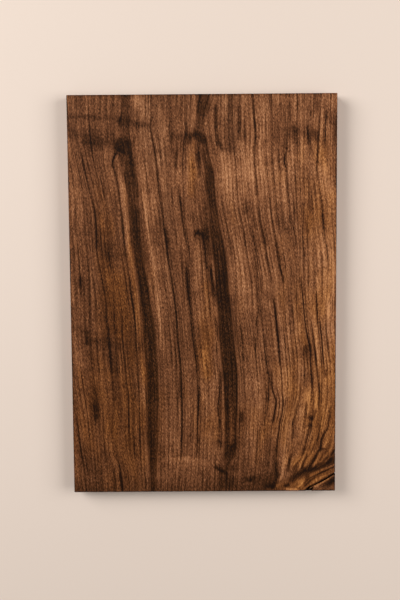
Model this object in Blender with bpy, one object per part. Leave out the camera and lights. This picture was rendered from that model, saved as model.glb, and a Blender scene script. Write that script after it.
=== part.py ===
"""A walnut board, planed flat and cut to size, lying on its back with its show face up.

Metres, +Z up. The grain runs along Y. The origin is the middle of the underside.
The upper end is at +Y and the lower end at -Y. The board is one piece of timber. Its eased
edges, and the split that runs from a bark pocket in the lower end to the right edge, are cut
into it.
"""

import bmesh
import bpy
from mathutils import Vector

# The blank, as sold: 12 x 18 in, planed to 3/4 in
WIDTH = 0.3048
LENGTH = 0.4572
THICKNESS = 0.019

# Arrises eased with fine abrasive
EASED_EDGE = 0.0008
EASED_EDGE_STEPS = 3

# Bark pocket, open to the show face and the lower end
POCKET_FROM_RIGHT_EDGE = 0.0306
POCKET_HALF_WIDTH = 0.0046
POCKET_REACH = 0.0060
POCKET_DEPTH = 0.0130
POCKET_FLOOR_SHARE = 0.62
POCKET_SIDES = 20

# Split from the pocket to the right edge, open to the show face and gone before the underside
SPLIT_START_HEIGHT = 0.0044
SPLIT_EXIT_HEIGHT = 0.0210
SPLIT_BOW = 0.0011
SPLIT_MOUTH_AT_POCKET = 0.0012
SPLIT_MOUTH_AT_EDGE = 0.0020
SPLIT_ROOT_WIDTH = 0.0003
SPLIT_DEPTH = 0.0125
SPLIT_STATIONS = 9

# How far a cutter runs past the surface that it opens
OVERRUN = 0.0030

TIMBER_COLOUR = (0.165, 0.083, 0.043, 1.0)
TIMBER_ROUGHNESS = 0.55

RIGHT_EDGE = WIDTH / 2
LOWER_END = -LENGTH / 2


def clear_scene():
    for obj in list(bpy.data.objects):
        bpy.data.objects.remove(obj, do_unlink=True)


def timber_material():
    material = bpy.data.materials.new("walnut")
    material.use_nodes = True
    shader = material.node_tree.nodes["Principled BSDF"]
    shader.inputs["Base Color"].default_value = TIMBER_COLOUR
    shader.inputs["Roughness"].default_value = TIMBER_ROUGHNESS
    shader.inputs["Metallic"].default_value = 0.0
    return material


def add_object(name, shape, material=None):
    """Moves a bmesh shape into a new object of the scene."""
    bmesh.ops.recalc_face_normals(shape, faces=shape.faces)
    mesh = bpy.data.meshes.new(name)
    shape.to_mesh(mesh)
    shape.free()
    obj = bpy.data.objects.new(name, mesh)
    bpy.context.scene.collection.objects.link(obj)
    if material is not None:
        mesh.materials.append(material)
    return obj


def as_cutter(obj):
    obj.hide_render = True
    obj.display_type = "WIRE"
    return obj


def blank():
    """The sawn rectangle, extruded from the underside up to the show face."""
    shape = bmesh.new()
    half_width, half_length = WIDTH / 2, LENGTH / 2
    corners = [
        (-half_width, -half_length),
        (half_width, -half_length),
        (half_width, half_length),
        (-half_width, half_length),
    ]
    outline = [shape.verts.new((x, y, 0.0)) for x, y in corners]
    underside = shape.faces.new(outline)
    grown = bmesh.ops.extrude_face_region(shape, geom=[underside])["geom"]
    raised = [item for item in grown if isinstance(item, bmesh.types.BMVert)]
    bmesh.ops.translate(shape, verts=raised, vec=(0.0, 0.0, THICKNESS))
    return shape


def ease_edges(board):
    bevel = board.modifiers.new("eased edges", "BEVEL")
    bevel.width = EASED_EDGE
    bevel.segments = EASED_EDGE_STEPS
    bevel.limit_method = "ANGLE"


def split_line(share):
    """A point of the split in plan, and its direction: a shallow arc from the pocket to the edge.

    The share is 0 in the pocket and 1 at the right edge. It may be more, and then the line runs on.
    """
    start = Vector((RIGHT_EDGE - POCKET_FROM_RIGHT_EDGE, LOWER_END + SPLIT_START_HEIGHT))
    end = Vector((RIGHT_EDGE, LOWER_END + SPLIT_EXIT_HEIGHT))
    chord = end - start
    towards_corner = Vector((chord.y, -chord.x)).normalized()
    point = start + chord * share + towards_corner * (4 * SPLIT_BOW * share * (1 - share))
    direction = (chord + towards_corner * (4 * SPLIT_BOW * (1 - 2 * share))).normalized()
    return point, direction


def split_mouth(share):
    return SPLIT_MOUTH_AT_POCKET + (SPLIT_MOUTH_AT_EDGE - SPLIT_MOUTH_AT_POCKET) * share


def split_blade():
    """A wedge lofted along the split: as wide as the mouth at the show face, thin at its root."""
    shape = bmesh.new()
    chord = Vector((POCKET_FROM_RIGHT_EDGE, SPLIT_EXIT_HEIGHT - SPLIT_START_HEIGHT)).length
    last_share = 1.0 + OVERRUN / chord
    top, root = THICKNESS + OVERRUN, THICKNESS - SPLIT_DEPTH
    rings = []
    for station in range(SPLIT_STATIONS):
        share = last_share * station / (SPLIT_STATIONS - 1)
        point, direction = split_line(share)
        across = Vector((-direction.y, direction.x))
        mouth = split_mouth(share)
        spread = (mouth - SPLIT_ROOT_WIDTH) / SPLIT_DEPTH
        half_top = (mouth + spread * OVERRUN) / 2
        half_root = SPLIT_ROOT_WIDTH / 2
        section = [(-half_root, root), (half_root, root), (half_top, top), (-half_top, top)]
        rings.append(
            [shape.verts.new((*(point + across * offset), height)) for offset, height in section]
        )
    for near, far in zip(rings, rings[1:]):
        for side in range(4):
            following = (side + 1) % 4
            shape.faces.new((near[side], near[following], far[following], far[side]))
    shape.faces.new(rings[0])
    shape.faces.new(rings[-1])
    return shape


def pocket_plug():
    """A tapering oval plug about the lower end, wider at the show face than at its floor."""
    shape = bmesh.new()
    height = POCKET_DEPTH + OVERRUN
    widening = (1 - POCKET_FLOOR_SHARE) / POCKET_DEPTH
    bmesh.ops.create_cone(
        shape,
        cap_ends=True,
        segments=POCKET_SIDES,
        radius1=POCKET_FLOOR_SHARE,
        radius2=POCKET_FLOOR_SHARE + widening * height,
        depth=height,
    )
    bmesh.ops.scale(shape, verts=shape.verts, vec=(POCKET_HALF_WIDTH, POCKET_REACH, 1.0))
    middle = THICKNESS - POCKET_DEPTH + height / 2
    place = (RIGHT_EDGE - POCKET_FROM_RIGHT_EDGE, LOWER_END, middle)
    bmesh.ops.translate(shape, verts=shape.verts, vec=place)
    return shape


def cut(board, cutter):
    boolean = board.modifiers.new(cutter.name, "BOOLEAN")
    boolean.operation = "DIFFERENCE"
    boolean.solver = "EXACT"
    boolean.object = cutter


def main():
    clear_scene()
    board = add_object("walnut_board", blank(), timber_material())
    ease_edges(board)
    cut(board, as_cutter(add_object("bark_pocket_cutter", pocket_plug())))
    cut(board, as_cutter(add_object("split_cutter", split_blade())))


main()
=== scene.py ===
"""Dresses the walnut board: its figured face, edges, end grain and split corner, and the stage.

Metres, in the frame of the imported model. The board lies on its back, show face up, with the
grain along Y. The figure is drawn in millimetres on the show face, from the corner at the left
edge and the lower end: x runs across the grain and y along it.
"""

import math

import bpy
import numpy as np
from bpy.props import FloatProperty, FloatVectorProperty, PointerProperty
from mathutils import Matrix, Vector


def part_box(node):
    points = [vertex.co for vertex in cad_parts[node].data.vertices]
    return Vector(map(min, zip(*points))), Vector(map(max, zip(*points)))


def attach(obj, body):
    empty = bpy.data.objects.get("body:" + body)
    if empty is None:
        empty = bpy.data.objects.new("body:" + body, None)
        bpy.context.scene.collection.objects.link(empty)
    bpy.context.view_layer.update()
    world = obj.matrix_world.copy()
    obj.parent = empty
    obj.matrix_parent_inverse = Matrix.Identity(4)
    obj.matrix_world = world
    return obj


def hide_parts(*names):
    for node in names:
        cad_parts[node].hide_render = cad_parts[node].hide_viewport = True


bl_info = {
    "name": "Walnut board",
    "version": (1, 0, 0),
    "blender": (4, 5, 0),
    "location": "3D View > Sidebar > Walnut board",
    "description": "Makes a figured walnut board with a split corner, and its stage",
    "category": "Object",
}

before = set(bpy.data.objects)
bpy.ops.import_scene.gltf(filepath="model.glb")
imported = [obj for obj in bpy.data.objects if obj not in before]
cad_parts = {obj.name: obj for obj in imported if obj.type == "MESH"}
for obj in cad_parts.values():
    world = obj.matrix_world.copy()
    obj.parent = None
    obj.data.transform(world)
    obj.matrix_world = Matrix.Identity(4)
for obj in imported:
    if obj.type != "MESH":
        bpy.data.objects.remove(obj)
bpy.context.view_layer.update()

MM = 0.001
LOWEST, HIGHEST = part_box("walnut_board")
WIDTH = (HIGHEST.x - LOWEST.x) / MM
LENGTH = (HIGHEST.y - LOWEST.y) / MM
THICKNESS = (HIGHEST.z - LOWEST.z) / MM

# Guides: lines that the grain follows over the whole length, left to right.
# Each has its (x, y) points from the lower end up.
GUIDES = (
    ((15, 0), (13, 18), (10.5, 40), (8, 57), (5.5, 80), (3.5, 95), (-1, 130), (-6, 200), (-16, 457)),
    ((32, 0), (31, 60), (29, 100), (24, 140), (21, 183), (22, 234), (21, 275), (17.7, 315), (14.7, 363),
     (8, 395), (4, 430), (2, 457)),
    ((57, 0), (54, 28), (48, 45), (45, 60), (47, 85), (48, 110), (46, 145), (43, 190), (41, 222),
     (38, 242), (32, 275), (29, 325), (22, 357), (14, 390), (10, 420), (9, 457)),
    ((80, 0), (78, 55), (78, 110), (76, 150), (74, 190), (70, 230), (66, 265), (62, 300), (58, 343),
     (54, 370), (50, 400), (49, 430), (49, 457)),
    ((88, 0), (87, 50), (86, 100), (84.5, 140), (81, 180), (80, 200), (78, 230), (76, 250), (73, 270),
     (71, 290), (69.5, 315), (66.5, 345), (64, 370), (62, 392), (58, 412), (59, 440), (60, 457)),
    ((96, 0), (97, 40), (99, 80), (100, 110), (99, 140), (97, 180), (94, 200), (89, 230), (84, 270),
     (81, 295), (80, 330), (78, 365), (74, 390), (72, 415), (73, 457)),
    ((104, 0), (105, 100), (104, 150), (103, 190), (101.5, 210), (98.5, 238), (95, 270), (91, 298),
     (87, 330), (83, 370), (81, 420), (81, 457)),
    ((122, 0), (126, 48), (127, 100), (126, 150), (123, 185), (121, 212), (116, 250), (111, 290),
     (106, 330), (101, 375), (96, 408), (95, 457)),
    ((142, 0), (144, 50), (146, 105), (144.5, 150), (140, 188), (137, 215), (134, 257), (132, 298),
     (129, 335), (130, 370), (132, 410), (133, 457)),
    ((174, 0), (176, 40), (178, 75), (177.5, 115), (175, 150), (172.5, 180), (170.5, 215), (167, 255),
     (164.5, 290), (160, 325), (156, 352), (151, 378), (147, 400), (143, 425), (146, 457)),
    ((186, 0), (189, 40), (191, 80), (192, 120), (190, 160), (187, 190), (183.5, 222), (180, 260),
     (175, 295), (168, 330), (165, 370), (158, 400), (155, 430), (163, 457)),
    ((195, 0), (198, 60), (197, 130), (193, 175), (189, 212), (187, 250), (182, 295), (176, 333),
     (174, 375), (170, 410), (171, 457)),
    ((230, 0), (235, 25), (238, 62), (240.5, 82), (243.5, 103), (242, 142), (238, 180), (234, 220),
     (231, 252), (224, 285), (219, 312), (215, 345), (212, 385), (211, 425), (209, 457)),
    ((243, 0), (247, 12), (250, 32), (254, 58), (255.5, 75), (259, 92), (264, 115), (266, 145),
     (262, 190), (260, 222), (258.5, 275), (254, 308), (250.5, 345), (247, 385), (246, 457)),
    ((246, 0), (251, 12), (256, 27), (266, 43), (273, 62), (276, 85), (278, 118), (276, 155), (271, 190),
     (268, 213), (266, 245), (266, 300), (264, 345), (263, 457)),
    ((249, 0), (256, 12), (265, 24), (277, 41), (284, 64), (288, 90), (290, 125), (289, 165),
     (285.5, 200), (283, 228), (281, 265), (278, 300), (275, 345), (273, 457)),
    ((252, 0), (261, 12), (272, 24), (284, 41), (292, 66), (298.5, 92), (300, 130), (297, 160),
     (293.5, 195), (295.5, 240), (295, 270), (289, 310), (286, 340), (281, 370), (284, 457)),
    ((256, 0), (265, 11), (283, 23.5), (304, 33), (309, 48), (311, 75), (311, 120), (308, 200),
     (306, 320), (304, 457)),
    ((262, 0), (271, 7), (283, 16.5), (303, 24), (315, 38), (318, 75), (318, 120), (315, 200), (313, 320),
     (311, 457)),
    ((270, 0), (275, 3), (290.6, 10), (305, 19.6), (321, 34), (325, 75), (325, 120), (322, 200),
     (320, 320), (318, 457)),
)

# Growth lines: thin dark lines that run with the grain. Points are (x, y, darkness), lower end first.
GROWTH_LINES = (
    ((15, 0, 0.8), (13, 15, 0.8), (12, 30, 0.7), (10.5, 40, 0.9), (8, 57, 0.9), (5.5, 80, 0.7),
     (3.5, 95, 0.5), (1.5, 110, 0.3)),
    ((22.4, 234, 0.3), (21, 275, 0.3), (17.7, 315, 0.4), (17.5, 339, 0.4), (14.7, 363, 0.5), (9, 392, 0.3)),
    ((56, 8, 0.6), (54.5, 22, 0.6), (53, 33, 0.5), (48, 43, 0.5), (45, 60, 0.7), (47, 85, 0.4),
     (48, 100, 0.7), (48, 115, 0.7), (46.5, 140, 0.5), (45.5, 155, 0.7), (44, 175, 0.8), (43, 190, 0.8),
     (41, 205, 0.7), (41.5, 224, 0.6), (38, 242, 0.6), (32, 276, 0.7), (31, 300, 0.6), (29, 331, 0.6),
     (26, 345, 0.6), (22, 360, 0.6), (16, 392, 0.5)),
    ((35, 320, 0.3), (30, 350, 0.4), (28, 360, 0.5), (23, 380, 0.4)),
    ((53, 125, 0.4), (52, 140, 0.5), (51, 160, 0.4), (50, 190, 0.4), (50, 205, 0.5), (50, 225, 0.4)),
    ((67, 60, 0.5), (65, 75, 0.5), (65, 95, 0.6), (65, 115, 0.6), (63, 130, 0.3), (62, 150, 0.4),
     (60, 170, 0.4), (59, 190, 0.6), (59, 205, 0.6), (58, 220, 0.4)),
    ((78.5, 30, 0.4), (78, 50, 0.6), (77.7, 70, 0.6), (77.5, 90, 0.9), (77.5, 110, 0.8), (77, 130, 0.7),
     (76, 155, 0.5), (75, 170, 0.8), (74.5, 190, 0.6), (73, 210, 0.8), (70, 230, 0.8), (68, 250, 0.7),
     (66, 265, 0.7), (64, 280, 0.7), (62, 300, 0.7), (60, 325, 0.6), (58, 343, 0.6), (57, 355, 0.5),
     (54, 370, 0.5), (51, 380, 0.7), (52, 386, 0.8), (55, 392, 0.6)),
    ((125.5, 43, 0.7), (126, 60, 0.9), (127, 80, 0.9), (127, 120, 0.9), (126, 145, 0.8), (125, 160, 0.8),
     (123, 180, 0.7), (122, 200, 0.8), (121, 212, 0.7), (119, 230, 0.7), (116, 250, 0.6), (113, 270, 0.7),
     (111, 290, 0.8), (109, 305, 0.8), (106, 330, 0.8), (103, 350, 0.7), (100, 385, 0.6), (98, 400, 0.8),
     (96, 408, 0.7), (94, 424, 0.7), (95, 430, 0.4)),
    ((144, 43, 0.6), (144.5, 60, 0.8), (145, 82, 0.8), (146, 100, 0.9), (146, 115, 0.9), (145.5, 135, 0.7),
     (144, 155, 0.8), (142, 168, 0.7), (140, 185, 0.6), (138.5, 200, 0.9), (137.5, 215, 0.7),
     (136, 232, 0.9), (134.5, 250, 0.9), (136, 275, 0.6), (136, 283, 0.6), (133, 298, 0.7), (130, 312, 0.7),
     (128, 332, 0.7), (127, 343, 0.6)),
    ((131, 352, 0.5), (130, 370, 0.7), (131, 390, 0.7), (132, 405, 0.8), (134, 420, 0.8), (133, 428, 0.5)),
    ((122, 375, 0.5), (124, 395, 0.5)),
    ((157.5, 143, 0.7), (156, 150, 0.7), (155.5, 158, 0.4)),
    ((171, 55, 0.8), (172, 75, 0.7), (168.5, 100, 0.4), (171.5, 120, 0.8), (172, 132, 0.6)),
    ((168, 165, 0.5), (168, 185, 0.5), (167, 195, 0.9), (166, 202, 0.6)),
    ((198, 156, 0.8), (197, 165, 0.6), (197, 178, 0.8), (196, 185, 0.8), (195, 192, 0.6)),
    ((190, 200, 0.4), (189, 212, 0.6), (188, 225, 0.5)),
    ((183, 290, 0.8), (181, 303, 0.8), (177, 322, 0.8), (175, 340, 0.6)),
    ((201, 290, 0.6), (198, 310, 0.7), (194, 325, 0.6)),
    ((216, 258, 0.7), (214, 275, 0.7), (211, 292, 0.7), (209, 300, 0.6), (206, 308, 0.5)),
    ((212, 168, 0.5), (215, 188, 0.5), (213, 200, 0.4), (218, 212, 0.4), (217, 225, 0.5)),
    ((222.5, 60, 0.4), (222.5, 75, 0.5), (223, 85, 0.5), (226, 100, 0.5), (228, 115, 0.8), (228, 135, 0.8),
     (225.5, 150, 0.5), (224, 160, 0.5), (222.5, 172, 0.5), (222, 185, 0.4)),
    ((231, 75, 0.4), (233, 85, 0.7), (235, 97, 0.7), (236, 108, 0.7), (231, 122, 0.7), (230.5, 138, 0.6)),
    ((236, 30, 0.8), (237, 50, 0.6), (238, 62, 0.7), (239.5, 72, 0.7), (240.5, 82, 0.8), (243, 90, 0.8),
     (244, 100, 0.8), (243.5, 115, 0.7), (243, 130, 0.5), (242, 142, 0.5), (240, 155, 0.7),
     (238.5, 178, 0.9), (237, 190, 1.0), (235.5, 205, 1.0), (234.3, 217, 1.0), (233, 226, 0.6),
     (232, 240, 0.2), (229.5, 255, 0.15), (226, 270, 0.5), (224, 287, 1.0), (222, 298, 0.9),
     (220, 305, 0.8), (217, 325, 0.8), (215, 345, 0.7), (213, 365, 0.8), (212, 375, 0.7), (211, 400, 0.8),
     (213, 410, 0.6), (211, 430, 0.6), (209, 457, 0.5)),
    ((244, 248, 0.9), (241, 260, 1.0), (238, 275, 0.9), (236, 288, 0.7)),
    ((254, 58, 0.5), (256, 70, 0.8), (255, 78, 1.0), (256, 84, 1.0), (258.5, 90, 0.7), (262, 104, 0.4)),
    ((258, 290, 0.7), (257, 303, 0.8), (254, 310, 0.7), (252, 325, 0.7), (251, 340, 0.5)),
    ((248, 373, 0.8), (246, 380, 0.9), (248, 400, 0.7), (247, 413, 0.6)),
    ((260, 215, 0.6), (259.5, 228, 0.5)),
    ((268, 277, 0.5), (266, 295, 0.6)),
    ((270, 88, 0.6), (271.5, 103, 0.6)),
    ((277, 108, 0.5), (278, 118, 0.6), (278, 128, 0.9), (277, 138, 0.8), (276, 150, 0.8), (276, 162, 1.0),
     (275, 172, 1.0), (272.5, 181, 0.9), (271, 189, 0.9), (269.5, 198, 0.9), (268.5, 207, 0.8),
     (267.5, 222, 0.8), (266, 233, 0.8), (265, 240, 0.7)),
    ((268, 135, 0.6), (269, 145, 0.7), (267.5, 160, 0.9), (268, 166, 0.6)),
    ((283, 61, 0.6), (285.5, 68, 0.9), (287, 75, 0.7), (285.5, 105, 0.5), (286, 116, 0.8),
     (284.5, 132, 0.8), (283.5, 142, 0.8), (282.3, 152, 0.8), (281, 163, 0.6)),
    ((290.5, 152, 0.6), (289, 165, 0.5), (288, 180, 0.6), (286.5, 195, 0.7)),
    ((284, 200, 0.5), (283.7, 212, 0.7), (283, 226, 0.6)),
    ((288, 52, 0.9), (289, 63, 0.9), (292, 68, 0.8), (295, 73, 0.7), (296.5, 82, 0.8), (298.5, 90, 0.9),
     (299.5, 97, 0.7), (300.5, 120, 0.4), (299, 140, 0.5), (297.8, 155, 0.7), (296, 165, 0.6),
     (295, 177, 0.8), (293.5, 190, 0.5)),
    ((295, 270, 0.7), (293, 285, 0.7), (291, 292, 0.8), (289, 310, 0.8), (287.5, 321, 0.8), (286, 340, 0.7),
     (283, 355, 0.6), (281, 370, 0.8), (282, 380, 0.7), (283, 395, 0.6)),
    ((299.5, 205, 0.5), (300, 225, 0.7)),
    ((302, 78, 0.7), (302.3, 83, 0.7)),
    ((173, 396, 0.6), (174, 403, 0.6)),
    ((170, 402, 0.9), (169, 410, 0.7), (168, 420, 0.6), (168, 440, 0.6)),
    ((194, 415, 0.6), (194, 440, 0.6)),
)

# Unmarked rings fill the gaps between the drawn growth lines, about this far apart in mm.
RING_GAP = 4.4

# Dark heartwood streaks: (x of the left edge, x of the right edge, y, strength), lower end first.
STREAKS = (
    ((90, 94, -4, 0.6), (89, 96, 8, 0.7), (87.5, 97, 30, 0.9), (87, 98, 60, 1.05), (86.5, 99, 85, 1.1),
     (86.3, 100.5, 110, 1.1), (85.8, 99.5, 140, 1.1), (84.3, 98.5, 160, 1.1), (82.8, 97, 180, 1.1),
     (81.8, 94.5, 205, 1.1), (79.4, 91, 228, 1.1), (77, 88, 250, 1.1), (73.4, 84, 270, 1.1),
     (71.5, 82, 290, 1.1), (70, 80.8, 315, 1.0), (67.5, 80, 335, 0.95), (66, 80.5, 352, 0.9),
     (63.5, 77.5, 370, 0.95), (66, 76, 382, 1.05), (65, 74, 390, 1.1), (54, 72.5, 396, 1.1),
     (56, 70, 406, 0.85), (61, 70, 415, 0.6), (57, 73, 428, 0.8), (62, 73.5, 438, 0.6),
     (61, 72.5, 457, 0.7)),
    ((176.5, 181.5, 30, 0.5), (175, 188, 42, 0.9), (175.5, 189.5, 52, 1.0), (176.5, 190.5, 85, 1.05),
     (176.5, 191.5, 110, 1.15), (174.8, 191.5, 135, 1.15), (173, 190.5, 152, 1.15),
     (171.3, 189, 168, 1.2), (170, 188, 180, 1.2), (169.3, 185.5, 202, 1.2), (168.5, 183.5, 225, 1.2),
     (167, 182, 240, 1.2), (166, 181, 255, 1.2), (164.5, 180, 270, 1.2), (163, 178.5, 280, 1.15),
     (162.5, 176.5, 290, 1.15), (161.5, 174.5, 300, 1.15), (160.5, 172.5, 310, 1.15),
     (159.5, 169.5, 330, 1.1), (157.5, 167.5, 342, 1.1), (155.5, 166.5, 356, 1.1), (155, 165.5, 372, 1.0),
     (153.5, 161.5, 382, 0.8), (152, 160.5, 394, 0.8), (150.5, 159, 403, 0.85), (143, 157, 409, 0.8),
     (143, 153, 416, 0.7), (146, 155, 426, 0.6), (146, 161, 440, 0.85), (146, 162, 457, 0.85)),
)

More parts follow.
